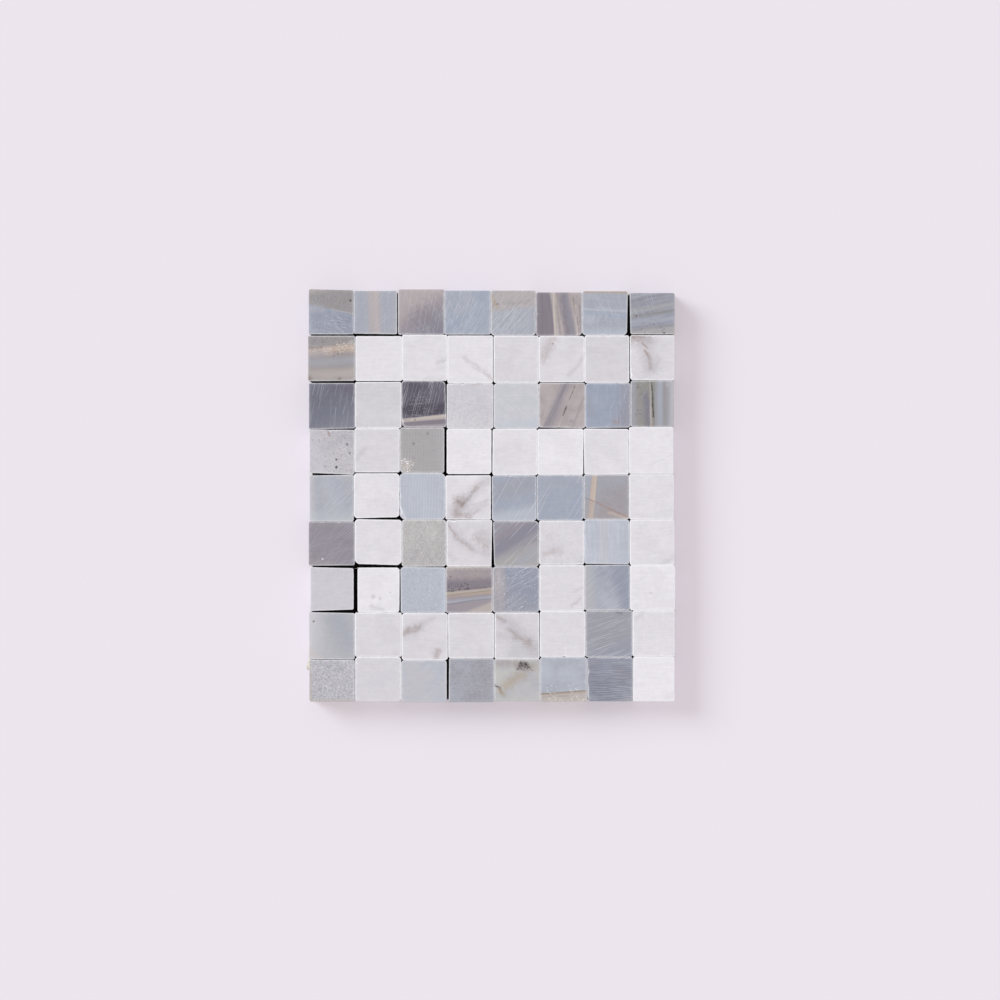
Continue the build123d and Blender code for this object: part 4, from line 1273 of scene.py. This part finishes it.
# %% Figures of rows 7 to 9
FIGURES |= {
    (7, 1): ("lilac", "mist", haze("pale grey", (0.55, 0.06), (0.7, 0.04), 0.08, 0.5)),
    (7, 2): (
        "snow", "white", spot("smoke", (0.38, 0.65), 0.06, 0.05), spot("smoke", (0.54, 0.7), 0.05, 0.04),
        spot("pewter", (0.78, 0.56), 0.02, 0.02), haze("smoke", (0.36, 0.88), (0.6, 0.93), 0.1, 0.6)),
    (7, 3): (
        "sky", "sky", worms("ice", 24, 0.9, 0.9, 0.08), worms("blue grey", 22, 0.9, 0.55, 0.07),
        specks("blue grey", 26, 0.5, 0.4, 0.4), specks("glint", 38, 0.4, 0.3, 0.4, (0.95, 0.5), 0.5),
        scratches(86, 30, 0.4, 0.35, (0.85, 0.35), 0.35), past("ice", (0.9, 0.5), 90, 0.06, strength=0.6)),
    (7, 4): (
        "taupe", "heather", before("sand", (0.5, 0.06), 2, 0.05),
        specks("umber", 30, 0.4, 0.3, 0.5, (0.5, 0.25), 0.5),
        band("plum", (0.5, 0.38), 3, 0.22, 0.1, 0.05, 0.2),
        vein("ink", (0.02, 0.54), (0.5, 0.48), 0.025, 0.02, 0.08, 0.6),
        specks("ink", 36, 0.5, 0.45, 0.9, (0.15, 0.47), 0.16),
        specks("ink", 36, 0.5, 0.3, 0.9, (0.4, 0.45), 0.14),
        vein("coal", (0.45, 0.49), (0.85, 0.44), 0.02, 0.02, 0.06, 0.6),
        past("tan", (0.5, 0.51), 5, 0.012, 0.03, 0.3), band("sand", (0.5, 0.54), 5, 0.03, 0.015, 0.04, 0.3),
        band("umber", (0.6, 0.565), 7, 0.008, 0.01, 0.04, 0.5, 0.8),
        vein("umber", (0.65, 0.47), (0.98, 0.43), 0.012, 0.01, 0.05, 0.6),
        past("heather", (0.5, 0.63), 5, 0.03), band("blue grey", (0.5, 0.72), 6, 0.06, 0.03),
        band("slate", (0.5, 0.755), 7, 0.02, 0.02, 0.08, 0.4, 0.8), past("heather", (0.5, 0.79), 7, 0.02),
        past("sand", (0.75, 0.86), 20, 0.04), spot("umber", (0.1, 0.22), 0.03),
        haze("mauve", (0.0, 0.92), (0.5, 0.97), 0.06, 0.6)),
    (7, 5): (
        "slate blue", "slate blue", before("rose grey", (0.26, 0.5), 92, 0.04, 0.1, 0.4, 0.7),
        worms("sand", 22, 0.8, 0.6, 0.08, (0.02, 0.5), 0.5),
        specks("umber", 30, 0.4, 0.2, 0.4, (0.1, 0.5), 0.4),
        past("pewter", (0.5, 0.7), -20, 0.2, strength=0.5), scratches(38, 32, 0.5, 0.34, (0.7, 0.5), 0.8),
        scratches(26, 26, 0.3, 0.25), scratches(60, 24, 0.3, 0.2, (0.3, 0.5), 0.5),
        specks("glint", 38, 0.4, 0.2, 0.5, (0.5, 0.5), 0.7),
        scratches(88, 30, 0.4, 0.25, (0.15, 0.3), 0.3)),
    (7, 6): (
        "soft white", "soft white", haze("vein", (0.72, 0.9), (0.9, 0.72), 0.06, 0.6),
        haze("smoke", (0.75, 0.6), (0.95, 0.5), 0.06, 0.4), worms("cloud", 11, 0.5, 0.3)),
    (7, 7): (
        "blue grey", "blue grey", before("dove", (0.2, 0.5), 95, 0.15),
        past("slate blue", (0.66, 0.4), 108, 0.1, 0.2),
        haze("slate blue", (0.35, 0.15), (0.65, 0.3), 0.2, 0.6),
        haze("slate blue", (0.85, 0.8), (0.95, 0.98), 0.15, 0.7),
        haze("aqua", (0.4, 0.7), (0.6, 0.95), 0.2, 0.4), scratches(42, 30, 0.4, 0.26),
        scratches(30, 26, 0.35, 0.25, (0.7, 0.6), 0.6), scratches(60, 24, 0.25, 0.2, (0.3, 0.2), 0.5)),
    (7, 8): ("white", "snow", spot("rust", (0.45, 0.62), 0.04, 0.04, strength=0.25)),
    (8, 1): (
        "dove", "dove", before("mist", (0.2, 0.5), 84, 0.25),
        haze("aqua", (0.2, 0.4), (0.4, 0.9), 0.3, 0.3),
        haze("blue grey", (0.65, 0.15), (0.85, 0.6), 0.4, 0.9), spot("umber", (0.1, 0.2), 0.045),
        haze("cream", (0.0, 0.85), (0.25, 0.98), 0.12, 0.5)),
    (8, 2): ("soft white", "cloud"),
    (8, 3): (
        "cloud", "soft white", haze("smoke", (0.05, 0.45), (0.42, 0.28), 0.22, 0.7),
        vein("brown vein", (0.04, 0.44), (0.14, 0.32), 0.07, 0.06, 0.2, 0.6),
        vein("brown vein", (0.12, 0.4), (0.38, 0.32), 0.08, 0.07, 0.25, 0.6, 0.8),
        haze("smoke", (0.4, 0.25), (0.7, 0.1), 0.1, 0.5),
        haze("brown vein", (0.72, 1.0), (0.78, 0.8), 0.1, 0.7)),
    (8, 4): ("soft white", "cloud", haze("soft white", (0.1, 0.3), (0.9, 0.45), 0.2, 0.5)),
    (8, 5): (
        "cloud", "cloud", haze("smoke", (0.03, 0.05), (0.4, 0.3), 0.27, 0.8),
        haze("smoke", (0.5, 0.5), (1.0, 0.85), 0.36, 0.85),
        vein("brown vein", (0.04, 0.08), (0.22, 0.2), 0.06, 0.05, 0.2, 0.6, 0.8),
        vein("brown vein", (0.3, 0.36), (0.5, 0.48), 0.05, 0.05, 0.2, 0.5, 0.8),
        vein("brown vein", (0.5, 0.52), (0.76, 0.62), 0.12, 0.09, 0.25, 0.6, 0.8),
        haze("brown vein", (0.72, 0.68), (1.0, 0.88), 0.16, 0.75),
        haze("smoke", (0.1, 0.48), (0.2, 0.52), 0.16, 0.6),
        haze("pale grey", (0.85, 0.88), (0.98, 0.9), 0.15, 0.7),
        haze("pale grey", (0.45, 0.9), (0.98, 0.86), 0.3, 0.9),
        scratches(-2, 30, 0.6, 0.4, (0.75, 0.75), 0.5, "snow", 0.3)),
    (8, 6): ("soft white", "soft white", vein("snow", (0.57, 0.82), (0.58, 0.97), 0.03)),
    (8, 7): (
        "pewter", "pewter", past("slate blue", (0.6, 0.75), 20, 0.25, strength=0.8),
        saw(17, 22, 0.25, "sky", "slate", 0.1), scratches(18, 32, 0.5, 0.35), scratches(24, 26, 0.3, 0.3),
        vein("slate", (0.68, 0.05), (0.78, 0.07), 0.05, 0.03)),
    (8, 8): ("white", "soft white", haze("smoke", (0.1, 0.16), (0.22, 0.06), 0.08, 0.5)),
    (9, 1): (
        "dove", "dove", worms("soft white", 18, 0.9, 0.7, 0.09), worms("pewter", 17, 0.8, 0.8, 0.08),
        specks("mist", 26, 0.6, 0.5, 0.5), before("sand", (0.04, 0.5), 92, 0.05),
        past("sand", (0.5, 0.96), 0, 0.04)),
    (9, 2): ("cloud", "cloud", haze("lilac", (0.3, 0.6), (0.8, 0.4), 0.2, 0.4)),
    (9, 3): (
        "sky", "pale grey", haze("pale grey", (0.2, 0.2), (0.6, 0.9), 0.4, 0.6),
        scratches(40, 26, 0.2, 0.2)),
    (9, 4): (
        "pewter", "blue grey", haze("mauve", (0.8, 0.2), (0.6, 0.9), 0.3, 0.4),
        saw(0, 18, 0.2, "dove", "mauve", 0.03), specks("dove", 30, 0.5, 0.5, 0.6),
        specks("mauve", 26, 0.5, 0.4, 0.5)),
    (9, 5): (
        "dove", "celadon", haze("taupe", (0.05, 0.08), (0.45, 0.1), 0.2, 0.8),
        haze("umber", (0.56, 0.15), (0.78, 0.18), 0.16, 0.4),
        haze("ochre", (0.56, 0.12), (0.78, 0.16), 0.17, 0.3),
        haze("ochre", (0.25, 0.6), (0.6, 0.38), 0.2, 0.7),
        haze("taupe", (0.54, 0.2), (0.95, 0.15), 0.2, 0.4),
        vein("ink", (0.52, 0.24), (0.6, 0.1), 0.045, 0.03, 0.3, 0.5, 0.9),
        vein("ink", (0.58, 0.08), (0.7, 0.16), 0.035, 0.025, 0.3, 0.5, 0.9),
        vein("ink", (0.7, 0.1), (0.84, 0.24), 0.04, 0.025, 0.3, 0.5, 0.9),
        worms("ink", 17, 1.0, 0.8, 0.1, (0.66, 0.16), 0.15),
        vein("ink", (0.0, 0.62), (0.14, 0.7), 0.045, 0.03, 0.2, 0.4, 1.0),
        vein("umber", (0.1, 0.68), (0.16, 0.8), 0.04, 0.03, 0.2, 0.4),
        haze("ochre", (0.12, 0.74), (0.22, 0.85), 0.1, 0.7),
        haze("sand", (0.7, 0.3), (0.98, 0.2), 0.1, 0.5),
        haze("pale grey", (0.6, 0.7), (0.9, 0.9), 0.3, 0.5)),
    (9, 6): (
        "blue grey", "sky", past("sand", (0.5, 0.78), 4, 0.015, 0.03),
        band("tan", (0.4, 0.81), 4, 0.05, 0.015, 0.03, 0.3),
        vein("umber", (0.0, 0.83), (1.0, 0.75), 0.016, 0.012, 0.03, 0.4),
        vein("umber", (0.05, 0.9), (0.6, 0.87), 0.012, 0.01, 0.03, 0.6, 0.6),
        specks("cream white", 38, 0.6, 0.5, 0.7, (0.3, 1.15), 0.34),
        specks("cream white", 38, 0.6, 0.5, 0.7, (0.8, 1.12), 0.34),
        specks("glint", 40, 0.5, 0.3, 0.6, (0.25, 0.72), 0.16),
        specks("glint", 40, 0.5, 0.3, 0.6, (0.7, 0.7), 0.16)),
    (9, 7): (
        "slate blue", "slate light", haze("slate", (0.2, 0.6), (0.5, 0.95), 0.4, 0.7),
        haze("slate", (0.3, 0.7), (0.45, 0.6), 0.3, 0.4), past("dove", (0.85, 0.9), 40, 0.15, strength=0.5),
        saw(-3, 25, 0.75, "blue grey", "slate", 0.1), scratches(-3, 34, 0.5, 0.36, long=0.4),
        scratches(4, 26, 0.3, 0.25, (0.3, 0.3), 0.5)),
    (9, 8): ("snow", "snow", haze("soft white", (0.8, 0.9), (1.0, 0.8), 0.1, 0.6)),
}
print(len(FIGURES), "figures")

# %% [markdown]
# ## Building the rows
#
# The stones of one row and one marble make one piece, as in the frame. Each stone's rings are
# joined into quads, closed at the back and the face by a fan of triangles, and carry four
# attributes: the place on the stone, the rim, the broken parts and the depth in a joint.

# %% A closed skin over rings
def skin(rings, first, last):
    """Points, quads and triangles over a stack of rings, closed by a point before and one after.

    Seen from outside, the rings run to the left round the stack while it goes from first to last.
    """
    count, around = rings.shape[:2]
    i, j = np.meshgrid(np.arange(count - 1), np.arange(around), indexing="ij")
    k = (j + 1) % around
    quads = np.stack([i * around + j, i * around + k, (i + 1) * around + k, (i + 1) * around + j], -1)
    here = np.arange(around)
    ahead = (here + 1) % around
    end = (count - 1) * around
    fans = [np.stack([here * 0 + count * around, ahead, here], 1),
            np.stack([here * 0 + count * around + 1, end + here, end + ahead], 1)]
    points = np.concatenate([rings.reshape(-1, 3), [first, last]])
    return points, quads.reshape(-1, 4), np.concatenate(fans)


def triangles_in(surfaces):
    """How many triangles a list of (points, quads, triangles, attributes) holds."""
    return sum(2 * len(surface[1]) + len(surface[2]) for surface in surfaces)


# %% One stone
USUAL_ROUNDING = (0.38, 0.55)


def stone_part(row, column):
    """One stone's skin with its attributes: its place on the stone, and rim, broken and joint."""
    corners = corners_of[row, column]
    dice = np.random.default_rng(100 * row + column)
    radii = [r * MM for r in ROUNDER.get((row, column), tuple(dice.uniform(*USUAL_ROUNDING, 4)))]
    rings, rim, broken, joint, top = stone_surface(
        corners, radii, sides_of(row, column), dice, CHIPS.get((row, column), ()))
    points, quads, fans = skin(rings, rings[0].mean(0), rings[-1].mean(0))
    low, high = corners.min(0), corners.max(0)
    place = np.stack([(points[:, 0] - low[0]) / (high[0] - low[0]),
                      (high[1] - points[:, 1]) / (high[1] - low[1]),
                      (top - points[:, 2]) / (high[0] - low[0])], 1)
    seen = {"rim": rim, "broken": broken, "joint": joint}
    seen = {name: np.append(values.ravel(), [0, 0]) for name, values in seen.items()}
    return points, quads, fans, {"place": place, **seen}


# %% Joining surfaces into one object
def build_piece(name, parts):
    """One object from parts, each (points, quads, triangles, attributes); part n gets slot n."""
    starts = np.cumsum([0] + [len(part[0]) for part in parts])
    points = np.concatenate([part[0] for part in parts])
    corners = np.concatenate([
        (faces + start).ravel() for part, start in zip(parts, starts) for faces in part[1:3]])
    sizes = np.concatenate([np.repeat([4, 3], [len(part[1]), len(part[2])]) for part in parts])
    slots = np.repeat(np.arange(len(parts)), [len(part[1]) + len(part[2]) for part in parts])
    mesh = bpy.data.meshes.new(name)
    mesh.vertices.add(len(points))
    mesh.vertices.foreach_set("co", points.ravel())
    mesh.loops.add(len(corners))
    mesh.loops.foreach_set("vertex_index", corners.astype(np.int32))
    mesh.polygons.add(len(sizes))
    mesh.polygons.foreach_set("loop_start", (np.cumsum(sizes) - sizes).astype(np.int32))
    mesh.polygons.foreach_set("material_index", slots.astype(np.int32))
    mesh.polygons.foreach_set("use_smooth", np.ones(len(sizes), bool))
    mesh.update(calc_edges=True)
    for label in parts[0][3]:
        values = np.concatenate([part[3][label] for part in parts])
        vector = values.ndim > 1
        layer = mesh.attributes.new(label, "FLOAT_VECTOR" if vector else "FLOAT", "POINT")
        layer.data.foreach_set("vector" if vector else "value", values.ravel())
    piece = bpy.data.objects.new(name, mesh)
    bpy.context.scene.collection.objects.link(piece)
    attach(piece, "root")
    return piece


def join_parts(parts):
    """Several parts as one part, for a piece with one material."""
    starts = np.cumsum([0] + [len(part[0]) for part in parts])
    return (np.concatenate([part[0] for part in parts]),
            np.concatenate([part[1] + start for part, start in zip(parts, starts)]),
            np.concatenate([part[2] + start for part, start in zip(parts, starts)]),
            {label: np.concatenate([part[3][label] for part in parts]) for label in parts[0][3]})


# %% Build all the rows
total = 0
for row, marble, columns in row_pieces():
    node = f"row_{row}_{marble}_stones"
    stones = [stone_part(row, column) for column in columns]
    piece = build_piece(f"sawn_{node}", stones)
    for column in columns:
        piece.data.materials.append(stone_material(row, column, *FIGURES[row, column]))
    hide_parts(node)
    total += triangles_in(stones)
print(total, "triangles in the stones")

# %% [markdown]
# ## The woven net
#
# The stones are glued to an open net of glass fibre. Such a net is woven with a twist: straight
# crosswise strands lie flat, and lengthwise strands are pairs of yarns that wind round each other,
# half a turn for each cell, so that every crosswise strand is gripped between two yarns. A yarn is
# a flattened tube carried along its middle line, and the line of a winding yarn is a flat helix.

# %% A tube along a line
def tube(middle, across, width, thickness, around=6):
    """Rings of an ellipse carried along a line; across is the level way out, Z the other."""
    turn = np.linspace(0, 2 * math.pi, around, endpoint=False)
    wide = np.cos(turn)[:, None] * np.array(across) * width / 2
    tall = np.sin(turn)[:, None] * np.array([0, 0, thickness / 2])
    points, quads, fans = skin(middle[:, None] + wide + tall, middle[0], middle[-1])
    along = np.concatenate([[0], np.cumsum(np.linalg.norm(np.diff(middle, axis=0), axis=1))]) / MM
    along = np.append(np.repeat(along, around), along[[0, -1]])
    round_it = np.append(np.tile(turn, len(middle)), [0, 0])
    fibre = np.stack([along, np.cos(round_it), np.sin(round_it)], 1)
    return points, quads, fans, {"fibre": fibre}


# %% Yarns and strands
CELL = 5.0 * MM
NET_THICKNESS = 0.45 * MM
STEPS_PER_CELL = 8
STRAND_STEPS_PER_CELL = 5
YARN = (0.42 * MM, 0.19 * MM)
YARN_BULGE = 0.2 * MM
YARN_RISE = 0.12 * MM
YARN_DRIFT = 0.12 * MM
STRAND = (0.86 * MM, 0.15 * MM)
STRAND_DRIFT = 0.14 * MM


def drift(along, dice, most):
    """A slow sideways drift in three sines, at most about as large as given."""
    waves, phases = dice.uniform(0.03, 0.16, 3) / CELL * 5, dice.uniform(0, 6.3, 3)
    return most / 2 * np.sin(waves[:, None] * along * 6.3 + phases[:, None]).mean(0)


def winding_pair(x, y_from, y_to, middle_y, dice):
    """Two yarns along Y that wind round each other, half a turn a cell, one above at a crossing."""
    steps = int(round((y_to - y_from) / CELL * STEPS_PER_CELL))
    y = np.linspace(y_from, y_to, steps + 1)
    turn = math.pi * ((y - middle_y) / CELL + 0.5)
    side = x + drift(y, dice, YARN_DRIFT)
    yarns = []
    for phase in (0.0, math.pi):
        bulge = YARN_BULGE * np.sin(turn + phase)
        rise = NET_THICKNESS / 2 + YARN_RISE * np.cos(turn + phase)
        yarns.append(tube(np.stack([side + bulge, y, rise], 1), (-1, 0, 0), *YARN))
    return yarns


def flat_strand(y, x_from, x_to, dice):
    """A flattened strand along X with a slow drift."""
    x = np.linspace(x_from, x_to, int((x_to - x_from) / CELL * STRAND_STEPS_PER_CELL) + 2)
    height = np.full(len(x), NET_THICKNESS / 2)
    return tube(np.stack([x, y + drift(x, dice, STRAND_DRIFT), height], 1), (0, 1, 0), *STRAND)


# %% Both halves of the net
PAIRS_EACH_WAY = 12
STRANDS_EACH_WAY = 14
STRAY = 11
STRAY_END = 0.1 * MM

upper_low, upper_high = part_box("net_upper_half")
lower_low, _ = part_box("net_lower_half")
net_left, net_right = upper_low[0], upper_high[0]
net_top, net_bottom = upper_high[1], lower_low[1]
net_middle = ((net_left + net_right) / 2, (net_top + net_bottom) / 2)
lengthwise = net_middle[0] + CELL * np.arange(-PAIRS_EACH_WAY, PAIRS_EACH_WAY + 1)
crosswise = CELL * (np.arange(STRANDS_EACH_WAY) + 0.5)
dice = np.random.default_rng(7)
halves = {}
for half, y_from, y_to, way in (
        ("upper", net_middle[1], net_top, 1), ("lower", net_bottom, net_middle[1], -1)):
    yarns = []
    for x in lengthwise:
        yarns += winding_pair(x, y_from, y_to, net_middle[1], dice)
    for number, away in enumerate(crosswise):
        start = lower_low[0] + STRAY_END if way < 0 and number == STRAY else net_left
        yarns.append(flat_strand(net_middle[1] + way * away, start, net_right, dice))
    halves[half] = yarns
print({half: triangles_in(yarns) for half, yarns in halves.items()}, "triangles")

# %% [markdown]
# ## Glue under the stones
#
# Each stone was pressed into a dab of glue on the net. The dab spread into a flat lobed patch that
# wets the strands, and at the left edge of the tile a little of it came out and set as a cream
# lump. A patch is a disc whose radius changes round it in a few waves and whose lower side bulges.

# %% Dabs of glue
DAB_SHIFT = 0.6
DAB_SIZES = (10.5, 12.5)
DAB_LOW = 0.12 * MM
DAB_HIGH = stone_floor + 0.05 * MM
CRUMB_LOW = 0.02 * MM


def dab(middle, size, low, high, dice, rings=7, around=30):
    """A lobed lens: radius waves round it, the lower side bulges to low, the rim lies at high."""
    turn = np.linspace(0, 2 * math.pi, around, endpoint=False)
    lobes = dice.uniform(0.02, 0.09, 4)[:, None] * np.sin(
        np.arange(2, 6)[:, None] * turn + dice.uniform(0, 6.3, 4)[:, None])
    bow = np.linspace(0, math.pi, rings + 2)[1:-1]
    reach = (1 + lobes.sum(0))[None, :] * np.sin(bow)[:, None]
    height = (high + low) / 2 - (high - low) / 2 * np.cos(bow)
    x = middle[0] + reach * size[0] / 2 * np.cos(turn)
    y = middle[1] + reach * size[1] / 2 * np.sin(turn)
    surface = np.stack([x, y, np.broadcast_to(height[:, None], x.shape)], -1)
    points, quads, fans = skin(surface, (*middle, low), (*middle, high))
    return points, quads, fans, {"fibre": points / MM}


def crumb(stone, inward, y, size, high, dice):
    """A finer dab at a stone's left edge: how far in its middle lies, its Y, size and top, in mm."""
    middle = (corners_of[stone][:, 0].min() + inward * MM, y * MM)
    return dab(middle, (size[0] * MM, size[1] * MM), CRUMB_LOW, high * MM, dice, 11, 40)


dice = np.random.default_rng(21)
glue = []
for corners in corners_of.values():
    centre = corners.mean(0) + dice.uniform(-DAB_SHIFT, DAB_SHIFT, 2) * MM
    size = dice.uniform(*DAB_SIZES, 2) * MM
    glue.append(dab(centre, size, DAB_LOW, DAB_HIGH, dice))
glue.append(crumb((9, 1), 0.6, -57.0, (3.4, 4.6), 1.1, dice))
glue.append(crumb((8, 1), 0.5, -50.6, (1.9, 5.2), 0.8, dice))
print(len(glue), "dabs of glue,", triangles_in(glue), "triangles")

# %% [markdown]
# ## Painted shade at the foot of the joints
#
# An open joint is deep and narrow and lies in shade, so a near-black bar of painted shade lies on
# the glue at the foot of each joint. Each joint gets a flat bar at its foot, wider than the gap, so
# that the bars cross where four stones meet. A bar runs from the middle of one end of the joint to
# the middle of the other.

# %% Bars of painted shade
SHADE_BAR_WIDTH = 1.4 * MM
SHADE_BAR_THICKNESS = 0.4 * MM
SHADE_BAR_MIDDLE = stone_floor + 0.26 * MM
SHADE_BAR_UNEVEN = 0.03 * MM
SHADE_BAR_REACH = 0.5 * MM
SHADE_BAR_STEPS = 9


# A bar is a near-black sheet of painted shade.
def shade_bar(starts, ends, start_reach, end_reach, across, dice):
    """A bar between the middles of two pairs of corners, longer at each end by a given reach."""
    start, end = np.mean(starts, 0), np.mean(ends, 0)
    way = (end - start) / np.linalg.norm(end - start)
    start, end = start - way * start_reach, end + way * end_reach
    flat = start + (end - start) * np.linspace(0, 1, SHADE_BAR_STEPS)[:, None]
    height = SHADE_BAR_MIDDLE + SHADE_BAR_UNEVEN * dice.uniform(-1, 1, SHADE_BAR_STEPS)
    middle = np.concatenate([flat, height[:, None]], 1)
    return tube(middle, across, SHADE_BAR_WIDTH, SHADE_BAR_THICKNESS, 8)


# One bar of painted shade for each joint between two stones.
dice = np.random.default_rng(33)
bars = []
for (row, column), corners in corners_of.items():
    right = corners_of.get((row, column + 1))
    below = corners_of.get((row + 1, column))
    if right is not None:
        bars.append(shade_bar((corners[1], right[0]), (corners[2], right[3]), -SHADE_BAR_REACH, -SHADE_BAR_REACH,
                             (-1, 0, 0), dice))
    if below is not None:
        left_reach = SHADE_BAR_REACH if column > 1 else -SHADE_BAR_REACH
        right_reach = SHADE_BAR_REACH if column < len(KEY[0]) else -SHADE_BAR_REACH
        bars.append(shade_bar((corners[0], below[3]), (corners[1], below[2]), left_reach, right_reach,
                             (0, 1, 0), dice))
print(len(bars), "bars of painted shade")

# %% [markdown]
# ## Net, glue and painted joint shade materials
#
# Glass yarn is a bundle of hair-thin fibres in a coat of resin, so it shows fine lines along its
# run and a soft gloss. The glue has the same cream colour, with a waxy mottle.
# The painted shade in the joints has the same mottle and is nearly black.

# %% Group: coated yarn
given, result = new_group("Coated yarn", {
    "Fibre": (0.0, 0.0, 0.0), "Light": GREY, "Dark": GREY, "Stretch": (1.0, 1.0, 1.0)},
    ("Color", "Height", "Roughness"))
fibres = noise(given, 1.0, 3.0, 0.6, at=given.fibre * given.stretch, seed=3.0)
blotches = noise(given, 0.35, 2.0, 0.5, at=given.fibre, seed=5.0)
shade = ease(fibres * 0.5 + blotches * 0.5, 0.35, 0.65)
feed(result["Color"], mix(shade, given.dark, given.light))
feed(result["Height"], fibres + blotches * 0.5)
feed(result["Roughness"], ease(blotches, 0.3, 0.7, 0.42, 0.62))


def coated_material(name, light, dark, stretch, depth):
    """Yarn, glue or painted joint shade: colour, bump and roughness from the coated-yarn group."""
    material, tree, shader = new_material(name)
    surface = use_group(tree, "Coated yarn", {
        "Fibre": attribute(tree, "fibre", "Vector"), "Light": paint(light), "Dark": paint(dark),
        "Stretch": stretch})
    dress(tree, shader, surface["Color"], surface, depth)
    return material


WAXY = ((1.6, 1.6, 1.6), 0.06 * MM)
yarn = coated_material("coated_glass_yarn", "cream white", "flax", (0.25, 6.0, 6.0), 0.03 * MM)
set_glue = coated_material("set_glue", "cream white", "flax", *WAXY)
# Near-black painted shade for the bars at the foot of the joints.
joint_dust = coated_material("joint_dust", "joint shade", "deepest joint shade", *WAXY)

# %% Build the net, the glue and the painted joint shade
for half, yarns in halves.items():
    net = build_piece(f"woven_net_{half}_half", [join_parts(yarns)])
    net.data.materials.append(yarn)
    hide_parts(f"net_{half}_half")
# The glue dabs, and the bars of painted shade in the joints.
for name, parts, material in (("glue_dabs", glue, set_glue), ("dust_in_joints", bars, joint_dust)):
    piece = build_piece(name, [join_parts(parts)])
    piece.data.materials.append(material)
print(len(bpy.data.materials), "materials")

# %% [markdown]
# ## Floor, light and camera
#
# The photograph was taken from straight above, on a pale floor under a soft lamp at the upper left
# that leaves a faint wide shadow at the lower right. A sun lamp with a wide angle gives that soft
# shadow. A second lamp shines almost straight down, so it fills in light without a shadow to the
# side, and it isn't mirrored in the stones. The world gives the rest. A Light Path node shows the
# camera and the mirrored rays a plain backdrop instead of that world.

# %% Floor
FLOOR_COLOUR = (0.835, 0.775, 0.85, 1.0)
FLOOR_HALF = 4.0

floor_mesh = bpy.data.meshes.new("floor")
floor_corners = [(x * FLOOR_HALF, y * FLOOR_HALF, 0) for x, y in ((-1, -1), (1, -1), (1, 1), (-1, 1))]
floor_mesh.from_pydata(floor_corners, [], [(0, 1, 2, 3)])
floor = bpy.data.objects.new("floor", floor_mesh)
bpy.context.scene.collection.objects.link(floor)
floor_paint, _, shader = new_material("pale_floor")
shader["Base Color"].default_value = FLOOR_COLOUR
shader["Roughness"].default_value = 0.9
shader["Specular IOR Level"].default_value = 0.1
floor_mesh.materials.append(floor_paint)

# %% World
SKY_COLOUR = (1.0, 0.935, 0.97, 1.0)
SKY_LEVEL = 0.44
BACKDROP_COLOUR = (0.84, 0.78, 0.855, 1.0)

world = bpy.data.worlds.new("studio")
world.use_nodes = True
bpy.context.scene.world = world
tree = world.node_tree
light = tree.nodes["Background"]
light.inputs["Color"].default_value = SKY_COLOUR
light.inputs["Strength"].default_value = SKY_LEVEL
backdrop = add(tree, "Background", {"Color": BACKDROP_COLOUR, "Strength": 1.0})
rays = add(tree, "LightPath")
seen = Wire(rays.outputs["Is Camera Ray"])
for kind in ("Glossy", "Transmission"):
    seen = calc("ADD", seen, Wire(rays.outputs[f"Is {kind} Ray"]), clamp=True)
either = add(tree, "MixShader", {"Fac": seen})
tree.links.new(light.outputs[0], either.inputs[1])
tree.links.new(backdrop.outputs[0], either.inputs[2])
tree.links.new(either.outputs[0], tree.nodes["World Output"].inputs["Surface"])


# %% Lamps
def sky_lamp(name, towards, level, spread, colour, mirrored=True):
    """A sun lamp that gives a level surface its share of the light; spread is its angle in degrees."""
    towards = Vector(towards).normalized()
    lamp = bpy.data.lights.new(name, "SUN")
    lamp.energy = level * math.pi / towards.z
    lamp.angle = math.radians(spread)
    lamp.color = colour
    holder = bpy.data.objects.new(name, lamp)
    holder.rotation_euler = towards.to_track_quat("Z", "Y").to_euler()
    holder.visible_glossy = mirrored
    bpy.context.scene.collection.objects.link(holder)


sky_lamp("soft_key", (-1.3, 0.8, 1.0), 0.232, 32, (0.9, 1.0, 1.02))
sky_lamp("high_fill", (-0.02, 0.015, 1.0), 0.362, 3, (1.0, 1.022, 0.936), mirrored=False)

# %% Camera
PIXEL = 15.25 * MM / 45.85
PHOTO_WIDTH = 1000 * PIXEL
AIM = Vector((3.26 * MM, -1.45 * MM, 0.0))
CAMERA_HEIGHT = 1.2
SENSOR = 36.0

lens = bpy.data.cameras.new("camera")
lens.sensor_width = SENSOR
lens.lens = SENSOR * CAMERA_HEIGHT / PHOTO_WIDTH
lens.clip_start = 0.01
camera = bpy.data.objects.new("camera", lens)
camera.location = AIM + Vector((0, 0, stone_top + CAMERA_HEIGHT))
bpy.context.scene.collection.objects.link(camera)
bpy.context.scene.camera = camera
bpy.context.scene.view_settings.view_transform = "Standard"
